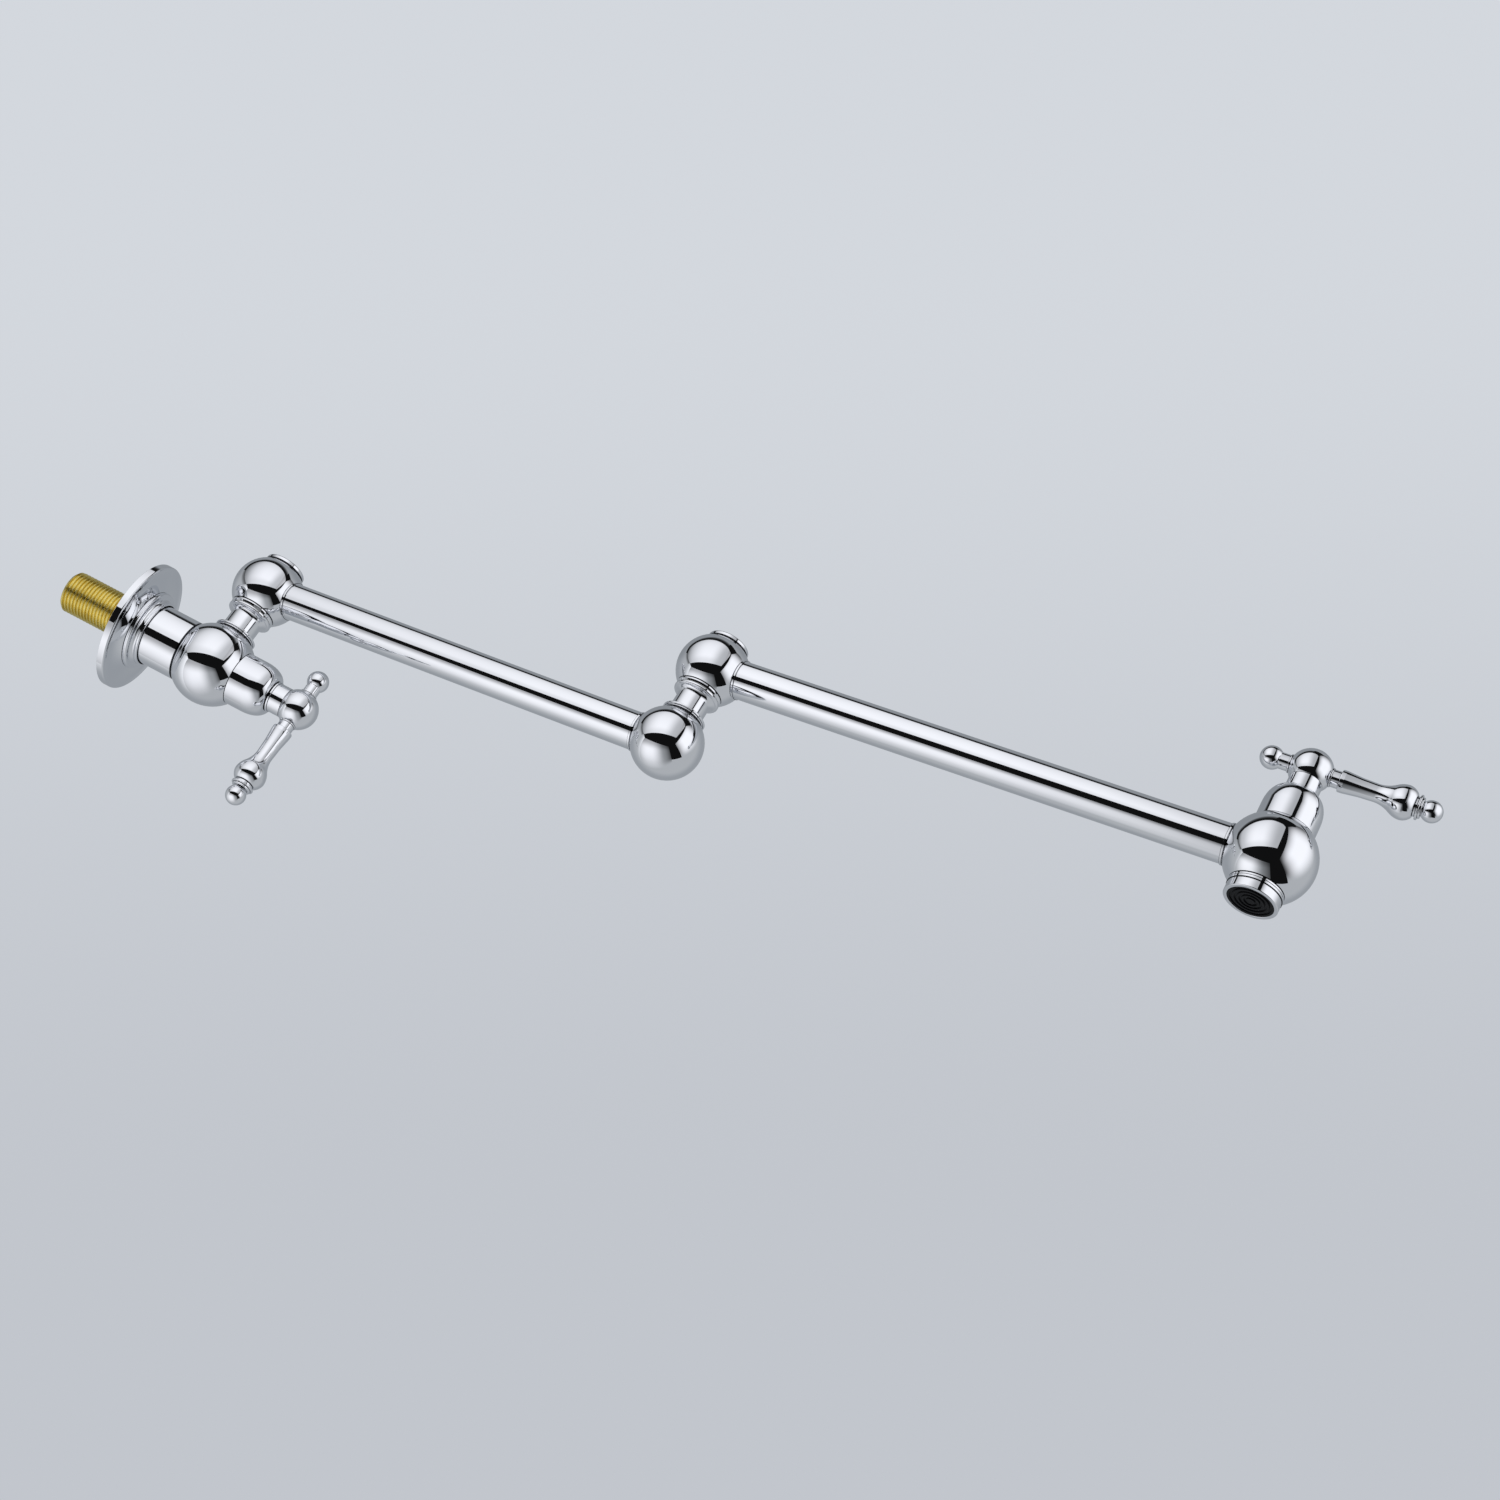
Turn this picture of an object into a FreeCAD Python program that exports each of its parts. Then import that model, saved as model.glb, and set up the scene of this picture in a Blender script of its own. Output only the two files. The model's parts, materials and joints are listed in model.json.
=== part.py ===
"""Wall mounted pot filler with two swinging arms and a lever valve at each end.

Millimetres. The origin is the centre of the wall face, on the inlet axis. The inlet thread
runs into the wall along +Y, the faucet stands out of the wall along -Y, and +Z is up.
Every piece is drawn in a local frame first and then set in place by one of the frames in
`build`. In a local frame the turning axis is Z, and an outline is a list of
(station along the axis, radius) points.
"""

import FreeCAD
import Part
import math
import os

from FreeCAD import Vector

# --- Overall layout -----------------------------------------------------------------------
wall_to_valve = 43.0        # wall face to the centre of the first ball
arm_1_length = 226.0        # first swing axis to the elbow axis
arm_2_length = 270.5        # elbow axis to the outlet axis
arm_1_swing = -13.86        # degrees from square to the wall, as it stands at rest
arm_2_swing = -16.21        # degrees from square to the wall
outlet_lever_swing = -14.2  # degrees, the outlet lever stands 2 degrees off its arm
large_ball_radius = 20.2    # valve ball and outlet ball
small_ball_radius = 17.2    # the two swivel balls and the elbow ball

# --- Clearances ---------------------------------------------------------------------------
running_clearance = 0.05    # radial, between a journal and its bore
free_clearance = 0.3        # between pieces that must not touch
end_play = 0.05             # along an axis, where one face slides on another
cutter_overshoot = 1.0      # how far a cutting solid runs past the surface it cuts
flare_sag = 0.25            # share of its rise that a flare has gained half way along

# --- Inlet: stations are measured out of the wall, the thread is at negative stations ------
thread_radius = 20.955 / 2  # G1/2
thread_reach = 37.5         # behind the wall face
thread_end_bevel = 1.0
thread_relief_start = 1.0   # plain groove between the wall thread and the neck thread
thread_relief_width = 2.0
thread_relief_depth = 1.0
thread_in_neck = 21.0
waterway_radius = 7.0

neck_radius = 15.2
neck_edge_bevel = 0.4       # on the end that stands on the ball
socket_radius = 11.0        # spigots that screw into the large balls
socket_depth = 4.2

plate_radius = 32.5
plate_wall = 1.2
plate_rim_height = 3.6
plate_rim_round = 0.8
plate_lip_width = 2.2       # flat on the rim before the face turns hollow
plate_rise = 5.4            # height of the middle of the plate
plate_hollow = 0.7          # how far the face dips below a straight cone
collar_foot_radius = 20.2
collar_foot_height = 2.2
collar_edge_round = 1.0
collar_cove_radius = 18.7   # where the hollow between the two rings starts
collar_cove_height = 1.9
collar_top_radius = 16.7
collar_top_height = 1.5
collar_top_step = 0.3       # how far the top ring stands out past the hollow
collar_top_edge_round = 0.5
plate_seal_section = 1.6
plate_seal_inset = 0.5      # from the back of the collar to the seal groove
wall_gasket_width = 3.5
wall_gasket_height = 1.6

# --- Valve: stations are measured from the ball centre along the valve axis -----------------
bonnet_seat_radius = 13.5
bonnet_radius = 13.3
bonnet_straight_end = 24.0
bonnet_top = 34.0
bonnet_top_radius = 8.2
bonnet_wall = 3.0
bonnet_skirt_radius = 11.5
stem_radius = 3.0
stem_hole_clearance = 0.4
cartridge_radius = 9.5
cartridge_side_gap = 0.1
cartridge_foot = -5.0       # where the seat seal rests in the ball
seat_seal_height = 1.5
seat_seal_width = 2.4
disc_radius = 8.0
disc_height = 3.0
disc_port_radius = 2.2
disc_port_offset = 4.4
chamber_radius = 14.0
chamber_start = 0.5
chamber_end = 10.5
cartridge_flange_height = 3.0
cartridge_neck_radius = 8.0
cartridge_neck_end = 22.0
cartridge_window_width = 7.0
cartridge_window_height = 4.4
window_foot_overlap = 0.5   # how far the windows reach down beside the stem foot
cartridge_inner_radius = 6.8
stem_foot_height = 1.5
seat_port_radius = 6.0

# --- Handle ---------------------------------------------------------------------------------
hub_radius = 9.8
hub_station = 48.1
stem_past_hub = 2.0         # how far the stem runs beyond the middle of the hub
collar_radius = 7.4
collar_base_radius = 7.9
collar_base_height = 0.9
stud_radius = 2.5
lever_root_radius = 4.3
lever_root_height = 0.7
lever_neck_radius = 3.9
lever_neck_end = 13.0       # lever stations are measured from the valve axis
lever_shoulder_radius = 5.0
lever_shoulder_end = 15.0
lever_waist_radius = 4.05
lever_waist_station = 29.0
lever_bulb_radius = 7.8
lever_bulb_station = 41.2
lever_flare_turn = 0.58     # share of the way from waist to bulb where hollow turns to full
lever_foot_radius = 5.4
lever_foot_station = 45.6
lever_groove_radius = 4.5
lever_groove_height = 1.3
lever_ring_1_radius = 5.6
lever_ring_2_radius = 4.7
lever_ring_height = 1.0
lever_tip_neck_radius = 3.4
lever_tip_radius = 4.9
lever_tip_station = 52.8
finial_root_radius = 4.2
finial_root_height = 0.8
finial_neck_radius = 3.7
finial_ball_radius = 5.3
finial_ball_station = 17.5

# --- Swivel: stations are measured up from the seat on the lower ball -----------------------
post_rise = 29.8            # seat to the centre of the swivel ball
post_seat_radius = 9.6
post_step_height = 0.5
post_bead_radius = 10.1
post_bead_height = 0.6
post_flange_radius = 10.8
post_flange_height = 1.0
post_neck_radius = 8.2
post_foot_cove = 1.1        # quarter hollow between the flange and the neck
post_neck_end = 10.4        # where the neck starts to flare to the head
post_flare_radius = 10.0
post_head_radius = 11.4
post_head_round = 0.9
post_head_start = 12.9
post_shoulder = 14.4        # where the slip washer lies
post_stub_length = 6.5
journal_radius = 7.0
post_bore_radius = 4.0
post_bore_past_centre = 3.0
post_port_radius = 2.4
slip_washer_height = 0.4
slip_washer_radius = 10.4
seal_groove_depth = 1.3
seal_groove_height = 2.0
lower_seal_below_centre = 10.5
upper_seal_below_top = 2.4
retaining_thread_radius = 5.0
retaining_washer_radius = 8.6
retaining_washer_height = 0.6
retaining_nut_across_flats = 13.8
retaining_nut_height = 4.0
post_top_past_nut = 0.5

# --- Swivel ball and elbow ball: stations from the ball centre -------------------------------
skirt_radius = 11.4
skirt_groove_radius = 10.9
skirt_groove_height = 0.5
skirt_bead_height = 0.7
small_ball_wall = 2.8
hollow_below_centre = 6.5
hollow_above_centre = 4.5
upper_boss_top = 7.0
nut_recess_radius = 9.2
cap_seat_radius = 10.5
cap_groove_radius = 10.1
cap_groove_height = 0.6
cap_rise = 2.6
cap_edge_bevel = 0.7
cap_plug_depth = 1.4
cap_plug_wall = 0.6
elbow_hollow_below = 9.0
elbow_hollow_above = 6.0

# --- Arm tubes -------------------------------------------------------------------------------
tube_radius = 9.05
tube_wall = 1.2
tube_grip = 3.2             # how far a tube end runs into its ball
seam_ring_rise = 0.45
seam_ring_width = 1.2

# --- Outlet: stations are measured down from the ball centre ---------------------------------
outlet_seat_radius = 12.4
outlet_step_height = 0.7
outlet_groove_radius = 11.9
outlet_groove_height = 0.3
outlet_bead_radius = 12.5
outlet_bead_height = 0.9
aerator_thread_radius = 10.2
aerator_bore_radius = 9.0
aerator_radius = 12.1
aerator_height = 5.3
aerator_lip = 1.7
aerator_edge_bevel = 0.4
aerator_washer_height = 0.9
aerator_washer_bore = 7.0
insert_height = 3.8
insert_recess = 0.2
insert_ring_count = 4
insert_ring_depth = 0.6
insert_hub_radius = 1.6
screen_height = 1.0


# --- Drawing helpers ---------------------------------------------------------------------------
def seat_offset(ball_radius, seat_radius):
    """Distance from a ball's centre to the flat whose rim has the given radius."""
    return math.sqrt(ball_radius ** 2 - seat_radius ** 2)


def turned(outline):
    """Solid of revolution about Z from a closed outline of (station, radius) points.

    An item that holds two points is an arc: it passes through the first and ends at the second.
    """
    def spot(point):
        return Vector(point[1], 0, point[0])

    edges = []
    first = spot(outline[0])
    here = first
    for item in outline[1:]:
        if isinstance(item[0], tuple):
            end = spot(item[1])
            edges.append(Part.Arc(here, spot(item[0]), end).toShape())
        else:
            end = spot(item)
            edges.append(Part.LineSegment(here, end).toShape())
        here = end
    edges.append(Part.LineSegment(here, first).toShape())
    face = Part.Face(Part.Wire(edges))
    return face.revolve(Vector(0, 0, 0), Vector(0, 0, 1), 360)


def rod(radius, start, end):
    """Cylinder on Z between two stations."""
    return Part.makeCylinder(radius, end - start, Vector(0, 0, start))


def side_rod(radius, start, end, height=0.0):
    """Cylinder along X between two distances from Z."""
    return Part.makeCylinder(radius, end - start, Vector(start, 0, height), Vector(1, 0, 0))


def ring(inner_radius, outer_radius, start, end):
    """Flat ring on Z between two stations."""
    return rod(outer_radius, start, end).cut(rod(inner_radius, start, end))


def ellipse_arcs(start, end):
    """Two arcs along the quarter ellipse that leaves `start` along the axis and ends square to it."""
    def at(degrees):
        angle = math.radians(degrees)
        station = start[0] + (end[0] - start[0]) * math.sin(angle)
        radius = end[1] + (start[1] - end[1]) * math.cos(angle)
        return (station, radius)

    return [(at(22.5), at(45)), (at(67.5), end)]


def quarter_round(start, end, leaves_along):
    """Quarter round item. It leaves start along the axis, or square to the axis."""
    centre = (start[0], end[1]) if leaves_along else (end[0], start[1])
    share = math.sqrt(0.5)
    via = [c + share * (a - c) + share * (b - c) for a, b, c in zip(start, end, centre)]
    return (tuple(via), end)


def flare(start, end, leaves_along):
    """Flat arc item that runs along the axis where it leaves start, or else where it reaches end."""
    share = flare_sag if leaves_along else 1 - flare_sag
    via = ((start[0] + end[0]) / 2, start[1] + share * (end[1] - start[1]))
    return (via, end)


def ball_arc(ball_radius, centre, start_radius, end_radius, far_side):
    """Arc item along a ball's outline to the given radius, past its widest circle if far_side."""
    half = math.asin(start_radius / ball_radius)
    last = math.asin(end_radius / ball_radius)
    if far_side:
        last = math.pi - last
    middle = (half + last) / 2

    def at(angle):
        return (centre - ball_radius * math.cos(angle), ball_radius * math.sin(angle))

    return (at(middle), at(last))


def frame_at(origin, axis, across):
    """Placement whose local Z points along axis and whose local X points along across."""
    turn = FreeCAD.Rotation(across, axis.cross(across), axis, "ZXY")
    return FreeCAD.Placement(origin, turn)


def heading(degrees):
    """Level direction out of the wall, swung about Z."""
    angle = math.radians(degrees)
    return Vector(math.sin(angle), -math.cos(angle), 0)


# --- Inlet and wall plate ------------------------------------------------------------------------
neck_seat_radius = neck_radius - neck_edge_bevel
neck_seat = wall_to_valve - seat_offset(large_ball_radius, neck_seat_radius)
thread_relief_end = thread_relief_start + thread_relief_width
nipple_end = thread_relief_end + thread_in_neck


def inlet_nipple():
    """Brass nipple: a thread for the wall fitting, a relief groove and a thread for the neck."""
    relief_radius = thread_radius - thread_relief_depth
    return turned([
        (-thread_reach, waterway_radius),
        (-thread_reach, thread_radius - thread_end_bevel),
        (-thread_reach + thread_end_bevel, thread_radius),
        (thread_relief_start, thread_radius),
        (thread_relief_start, relief_radius),
        (thread_relief_end, relief_radius),
        (thread_relief_end, thread_radius),
        (nipple_end, thread_radius),
        (nipple_end, waterway_radius),
    ])


def inlet_neck():
    """Plain tube that takes the nipple, stands on the ball and screws into it."""
    return turned([
        (thread_relief_end, thread_radius),
        (thread_relief_end, neck_radius),
        (neck_seat - neck_edge_bevel, neck_radius),
        (neck_seat, neck_seat_radius),
        (neck_seat, socket_radius),
        (neck_seat + socket_depth, socket_radius),
        (neck_seat + socket_depth, waterway_radius),
        (nipple_end, waterway_radius),
        (nipple_end, thread_radius),
    ])


def wall_plate():
    """Pressed plate: a rolled rim, a hollow face that rises to the middle, open behind."""
    lip_radius = plate_radius - plate_lip_width
    hole_radius = neck_radius + free_clearance
    middle_radius = (lip_radius + collar_foot_radius) / 2
    middle_height = (plate_rim_height + plate_rise) / 2 - plate_hollow
    return turned([
        (0, plate_radius - plate_wall),
        (0, plate_radius),
        (plate_rim_height - plate_rim_round, plate_radius),
        quarter_round((plate_rim_height - plate_rim_round, plate_radius),
                      (plate_rim_height, plate_radius - plate_rim_round), True),
        (plate_rim_height, lip_radius),
        ((middle_height, middle_radius), (plate_rise, collar_foot_radius)),
        (plate_rise, hole_radius),
        (plate_rise - plate_wall, hole_radius),
        (plate_rise - plate_wall, collar_foot_radius),
        ((middle_height - plate_wall, middle_radius), (plate_rim_height - plate_wall, lip_radius)),
        (plate_rim_height - plate_wall, plate_radius - plate_wall),
    ])


plate_seal_start = plate_rise + plate_seal_inset
plate_seal_end = plate_seal_start + plate_seal_section


def plate_collar():
    """Collar on the plate: a foot ring, a hollow and a top ring, with a seal groove in the bore."""
    foot_top = plate_rise + collar_foot_height
    top_ring = foot_top + collar_cove_height
    top = top_ring + collar_top_height
    bore_radius = neck_radius + free_clearance
    groove_radius = neck_radius + plate_seal_section
    foot_edge = (foot_top - collar_edge_round, collar_foot_radius)
    top_edge = (top - collar_top_edge_round, collar_top_radius)
    cove_start = (foot_top, collar_cove_radius)
    return turned([
        (plate_rise, bore_radius),
        (plate_rise, collar_foot_radius),
        foot_edge,
        quarter_round(foot_edge, (foot_top, collar_foot_radius - collar_edge_round), True),
        cove_start,
        quarter_round(cove_start, (top_ring, collar_top_radius - collar_top_step), False),
        (top_ring, collar_top_radius),
        top_edge,
        quarter_round(top_edge, (top, collar_top_radius - collar_top_edge_round), True),
        (top, bore_radius),
        (plate_seal_end, bore_radius),
        (plate_seal_end, groove_radius),
        (plate_seal_start, groove_radius),
        (plate_seal_start, bore_radius),
    ])


def plate_seal():
    """Rubber ring in the collar that grips the neck."""
    return ring(neck_radius, neck_radius + plate_seal_section, plate_seal_start, plate_seal_end)


def wall_gasket():
    """Rubber ring inside the rim, against the wall."""
    outer_radius = plate_radius - plate_wall
    return ring(outer_radius - wall_gasket_width, outer_radius, 0, wall_gasket_height)


# --- Valve ---------------------------------------------------------------------------------------
bonnet_seat = seat_offset(large_ball_radius, bonnet_seat_radius)
fixed_disc_start = cartridge_foot + seat_seal_height
fixed_disc_end = fixed_disc_start + disc_height
moving_disc_start = fixed_disc_end + end_play
moving_disc_end = moving_disc_start + disc_height
stem_foot_end = moving_disc_end + stem_foot_height
window_start = stem_foot_end - window_foot_overlap
window_end = window_start + cartridge_window_height
cartridge_flange_end = chamber_end + cartridge_flange_height


def large_ball(socket_seat_radius):
    """Large ball with a bonnet seat on +Z, a socket on -Z and the valve's waterway between them."""
    socket_seat = -seat_offset(large_ball_radius, socket_seat_radius)
    socket_end = socket_seat + socket_depth
    body = Part.makeSphere(large_ball_radius)
    body = body.cut(rod(large_ball_radius, bonnet_seat, large_ball_radius + cutter_overshoot))
    body = body.cut(rod(large_ball_radius, -large_ball_radius - cutter_overshoot, socket_seat))
    waterway = turned([
        (socket_seat - cutter_overshoot, 0),
        (socket_seat - cutter_overshoot, socket_radius),
        (socket_end, socket_radius),
        (socket_end, seat_port_radius),
        (cartridge_foot, seat_port_radius),
        (cartridge_foot, cartridge_radius + cartridge_side_gap),
        (chamber_start, cartridge_radius + cartridge_side_gap),
        (chamber_start, chamber_radius),
        (chamber_end, chamber_radius),
        (chamber_end, bonnet_skirt_radius),
        (bonnet_seat + cutter_overshoot, bonnet_skirt_radius),
        (bonnet_seat + cutter_overshoot, 0),
    ])
    return body.cut(waterway)


def valve_ball():
    """First ball: the inlet socket, the valve and, across it, the seat of the swivel post."""
    seat = seat_offset(large_ball_radius, post_seat_radius)
    post_seat = rod(large_ball_radius, seat, large_ball_radius + cutter_overshoot)
    post_socket = rod(journal_radius, seat - post_stub_length, seat + cutter_overshoot)
    passage = rod(post_bore_radius, cartridge_radius, seat)
    upward = post_seat.fuse([post_socket, passage])
    # The valve axis is Z here and the post stands along -X, which is up once the ball is in place.
    upward.rotate(Vector(0, 0, 0), Vector(0, 1, 0), -90)
    return large_ball(neck_seat_radius).cut(upward)


def seat_seal():
    """Rubber ring between the ball and the fixed disc."""
    outer_radius = seat_port_radius + seat_seal_width
    return ring(seat_port_radius, outer_radius, cartridge_foot, fixed_disc_start)


def ported_disc(radius, start):
    """Ceramic disc with two round ports."""
    disc = rod(radius, start, start + disc_height)
    for side in (-1, 1):
        port = rod(disc_port_radius, start, start + disc_height)
        port.translate(Vector(0, side * disc_port_offset, 0))
        disc = disc.cut(port)
    return disc


def cartridge_body():
    """Brass body of the cartridge: disc pocket, side windows, clamping flange and stem bore."""
    pocket_radius = disc_radius + cartridge_side_gap
    pocket_end = moving_disc_end + free_clearance
    bore_radius = stem_radius + running_clearance
    inner_end = window_end + free_clearance
    body = turned([
        (fixed_disc_start, pocket_radius),
        (fixed_disc_start, cartridge_radius),
        (chamber_end, cartridge_radius),
        (chamber_end, bonnet_skirt_radius),
        (cartridge_flange_end, bonnet_skirt_radius),
        (cartridge_flange_end, cartridge_neck_radius),
        (cartridge_neck_end, cartridge_neck_radius),
        (cartridge_neck_end, bore_radius),
        (inner_end, bore_radius),
        (inner_end, cartridge_inner_radius),
        (pocket_end, cartridge_inner_radius),
        (pocket_end, pocket_radius),
    ])
    window = Part.makeBox(
        4 * cartridge_radius, cartridge_window_width, cartridge_window_height,
        Vector(-2 * cartridge_radius, -cartridge_window_width / 2, window_start))
    return body.cut(window)


def bonnet():
    """Short cylinder with a domed top that clamps the cartridge into the ball."""
    hole_radius = stem_radius + stem_hole_clearance
    inner_radius = cartridge_neck_radius + free_clearance
    roof = bonnet_top - bonnet_wall
    outline = [
        (cartridge_flange_end, inner_radius),
        (cartridge_flange_end, bonnet_skirt_radius),
        (bonnet_seat, bonnet_skirt_radius),
        (bonnet_seat, bonnet_radius),
        (bonnet_straight_end, bonnet_radius),
    ]
    outline += ellipse_arcs((bonnet_straight_end, bonnet_radius), (bonnet_top, bonnet_top_radius))
    outline += [
        (bonnet_top, hole_radius),
        (roof, hole_radius),
        (cartridge_neck_end + free_clearance, inner_radius),
    ]
    return turned(outline)


# --- Handle: the lever points along local +X -------------------------------------------------------
collar_start = bonnet_top + free_clearance
collar_end = hub_station - seat_offset(hub_radius, collar_radius)
stem_end = hub_station + stem_past_hub
stud_start = stem_radius + free_clearance
lever_seat = seat_offset(hub_radius, lever_root_radius)
finial_seat = seat_offset(hub_radius, finial_root_radius)


def stem():
    """Brass stem, with the foot that turns the moving disc."""
    foot_radius = cartridge_inner_radius - stem_hole_clearance
    return turned([
        (moving_disc_end, 0),
        (moving_disc_end, foot_radius),
        (stem_foot_end, foot_radius),
        (stem_foot_end, stem_radius),
        (stem_end, stem_radius),
        (stem_end, 0),
    ])


def handle_collar():
    """Turned collar between the bonnet and the hub ball."""
    base_end = collar_start + collar_base_height
    return turned([
        (collar_start, stem_radius),
        (collar_start, collar_base_radius),
        (base_end, collar_base_radius),
        (base_end, collar_radius),
        (collar_end, collar_radius),
        (collar_end, stem_radius),
    ])


def handle_hub():
    """Ball on the stem, with flats for the collar, the lever and the finial."""
    reach = hub_radius + cutter_overshoot
    hub = Part.makeSphere(hub_radius, Vector(0, 0, hub_station))
    hub = hub.cut(rod(hub_radius, hub_station - reach, collar_end))
    hub = hub.cut(side_rod(hub_radius, lever_seat, reach, hub_station))
    hub = hub.cut(side_rod(hub_radius, -reach, -finial_seat, hub_station))
    hub = hub.cut(rod(stem_radius, collar_end, stem_end))
    return hub.cut(side_rod(stud_radius, -reach, reach, hub_station))


def lever():
    """Turned lever: stud, neck, waisted shank, bulb, groove, two rings and an end ball."""
    shoulder = (lever_shoulder_end, lever_shoulder_radius)
    waist = (lever_waist_station, lever_waist_radius)
    bulb = (lever_bulb_station, lever_bulb_radius)
    turn = tuple(a + lever_flare_turn * (b - a) for a, b in zip(waist, bulb))
    groove_end = lever_foot_station + lever_groove_height
    ring_1_end = groove_end + lever_ring_height
    ring_2_end = ring_1_end + lever_ring_height
    tip_start = lever_tip_station - seat_offset(lever_tip_radius, lever_tip_neck_radius)
    root_end = lever_seat + lever_root_height
    return turned([
        (stud_start, 0),
        (stud_start, stud_radius),
        (lever_seat, stud_radius),
        (lever_seat, lever_root_radius),
        (root_end, lever_root_radius),
        (root_end, lever_neck_radius),
        (lever_neck_end, lever_neck_radius),
        (lever_neck_end, lever_shoulder_radius),
        shoulder,
        flare(shoulder, waist, False),
        flare(waist, turn, True),
        flare(turn, bulb, False),
        flare(bulb, (lever_foot_station, lever_foot_radius), True),
        (lever_foot_station, lever_groove_radius),
        (groove_end, lever_groove_radius),
        (groove_end, lever_ring_1_radius),
        (ring_1_end, lever_ring_1_radius),
        (ring_1_end, lever_ring_2_radius),
        (ring_2_end, lever_ring_2_radius),
        (ring_2_end, lever_tip_neck_radius),
        (tip_start, lever_tip_neck_radius),
        ball_arc(lever_tip_radius, lever_tip_station, lever_tip_neck_radius, 0, True),
    ])


def finial():
    """Small ball on a neck, opposite the lever."""
    root_end = finial_seat + finial_root_height
    ball_start = finial_ball_station - seat_offset(finial_ball_radius, finial_neck_radius)
    return turned([
        (stud_start, 0),
        (stud_start, stud_radius),
        (finial_seat, stud_radius),
        (finial_seat, finial_root_radius),
        (root_end, finial_root_radius),
        (root_end, finial_neck_radius),
        (ball_start, finial_neck_radius),
        ball_arc(finial_ball_radius, finial_ball_station, finial_neck_radius, 0, True),
    ])


# --- Swivel: stations from the seat of the post on the lower ball ------------------------------------
skirt_start = post_shoulder + slip_washer_height + end_play
boss_top = post_rise + upper_boss_top
post_step = boss_top + end_play
nut_start = post_step + retaining_washer_height
nut_end = nut_start + retaining_nut_height
lower_seal = post_rise - lower_seal_below_centre
upper_seal = boss_top - upper_seal_below_top
seal_bottom_radius = journal_radius - seal_groove_depth


def seal_groove(start):
    """Outline points of a seal groove in the journal."""
    return [
        (start, journal_radius),
        (start, seal_bottom_radius),
        (start + seal_groove_height, seal_bottom_radius),
        (start + seal_groove_height, journal_radius),
    ]


def swivel_post():
    """Post: threaded stub, ringed foot, neck, flared head and the journal above it."""
    flange_start = post_step_height + post_bead_height
    flange_end = flange_start + post_flange_height
    foot_hollow = (flange_end, post_neck_radius + post_foot_cove)
    neck_end = (post_neck_end, post_neck_radius)
    head_edge = (post_head_start, post_head_radius - post_head_round)
    outline = [
        (-post_stub_length, 0),
        (-post_stub_length, journal_radius),
        (0, journal_radius),
        (0, post_seat_radius),
        (post_step_height, post_seat_radius),
        (post_step_height, post_bead_radius),
        (flange_start, post_bead_radius),
        (flange_start, post_flange_radius),
        (flange_end, post_flange_radius),
        foot_hollow,
        quarter_round(foot_hollow, (flange_end + post_foot_cove, post_neck_radius), False),
        neck_end,
        flare(neck_end, (post_head_start, post_flare_radius), True),
        head_edge,
        quarter_round(head_edge, (post_head_start + post_head_round, post_head_radius), False),
        (post_shoulder, post_head_radius),
        (post_shoulder, journal_radius),
    ]
    outline += seal_groove(lower_seal)
    outline += seal_groove(upper_seal)
    outline += [
        (post_step, journal_radius),
        (post_step, retaining_thread_radius),
        (nut_end + post_top_past_nut, retaining_thread_radius),
        (nut_end + post_top_past_nut, 0),
    ]
    post = turned(outline)
    post = post.cut(rod(post_bore_radius, -post_stub_length, post_rise + post_bore_past_centre))
    for turn in (0, 90):
        port = side_rod(post_port_radius, -journal_radius, journal_radius, post_rise)
        port.rotate(Vector(0, 0, 0), Vector(0, 0, 1), turn)
        post = post.cut(port)
    return post


def post_seal(start):
    """Rubber ring in a groove of the journal."""
    return ring(seal_bottom_radius, journal_radius, start, start + seal_groove_height)


def slip_washer():
    """Low friction washer between the post and the swivel ball."""
    return ring(journal_radius, slip_washer_radius, post_shoulder, post_shoulder + slip_washer_height)


def retaining_washer():
    """Washer that keeps the swivel ball on the journal."""
    return ring(retaining_thread_radius, retaining_washer_radius, post_step, nut_start)


def retaining_nut():
    """Hexagon nut on the top of the post, under the cap."""
    corner_radius = retaining_nut_across_flats / math.sqrt(3)
    corners = []
    for step in range(7):
        angle = math.radians(60 * step)
        corners.append(Vector(corner_radius * math.cos(angle), corner_radius * math.sin(angle), nut_start))
    prism = Part.Face(Part.makePolygon(corners)).extrude(Vector(0, 0, retaining_nut_height))
    return prism.cut(rod(retaining_thread_radius, nut_start, nut_end))


# --- Swivel balls, elbow ball and arm tubes: stations from the ball centre, arm along local +X ---------
cap_seat = seat_offset(small_ball_radius, cap_seat_radius)
small_hollow_radius = small_ball_radius - small_ball_wall
small_tube_end = seat_offset(small_ball_radius, tube_radius) - tube_grip
large_tube_end = seat_offset(large_ball_radius, tube_radius) - tube_grip


def hollow_slice(radius, low, high):
    """The part of a ball's hollow between two heights."""
    return Part.makeSphere(radius).common(rod(radius, low, high))


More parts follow.
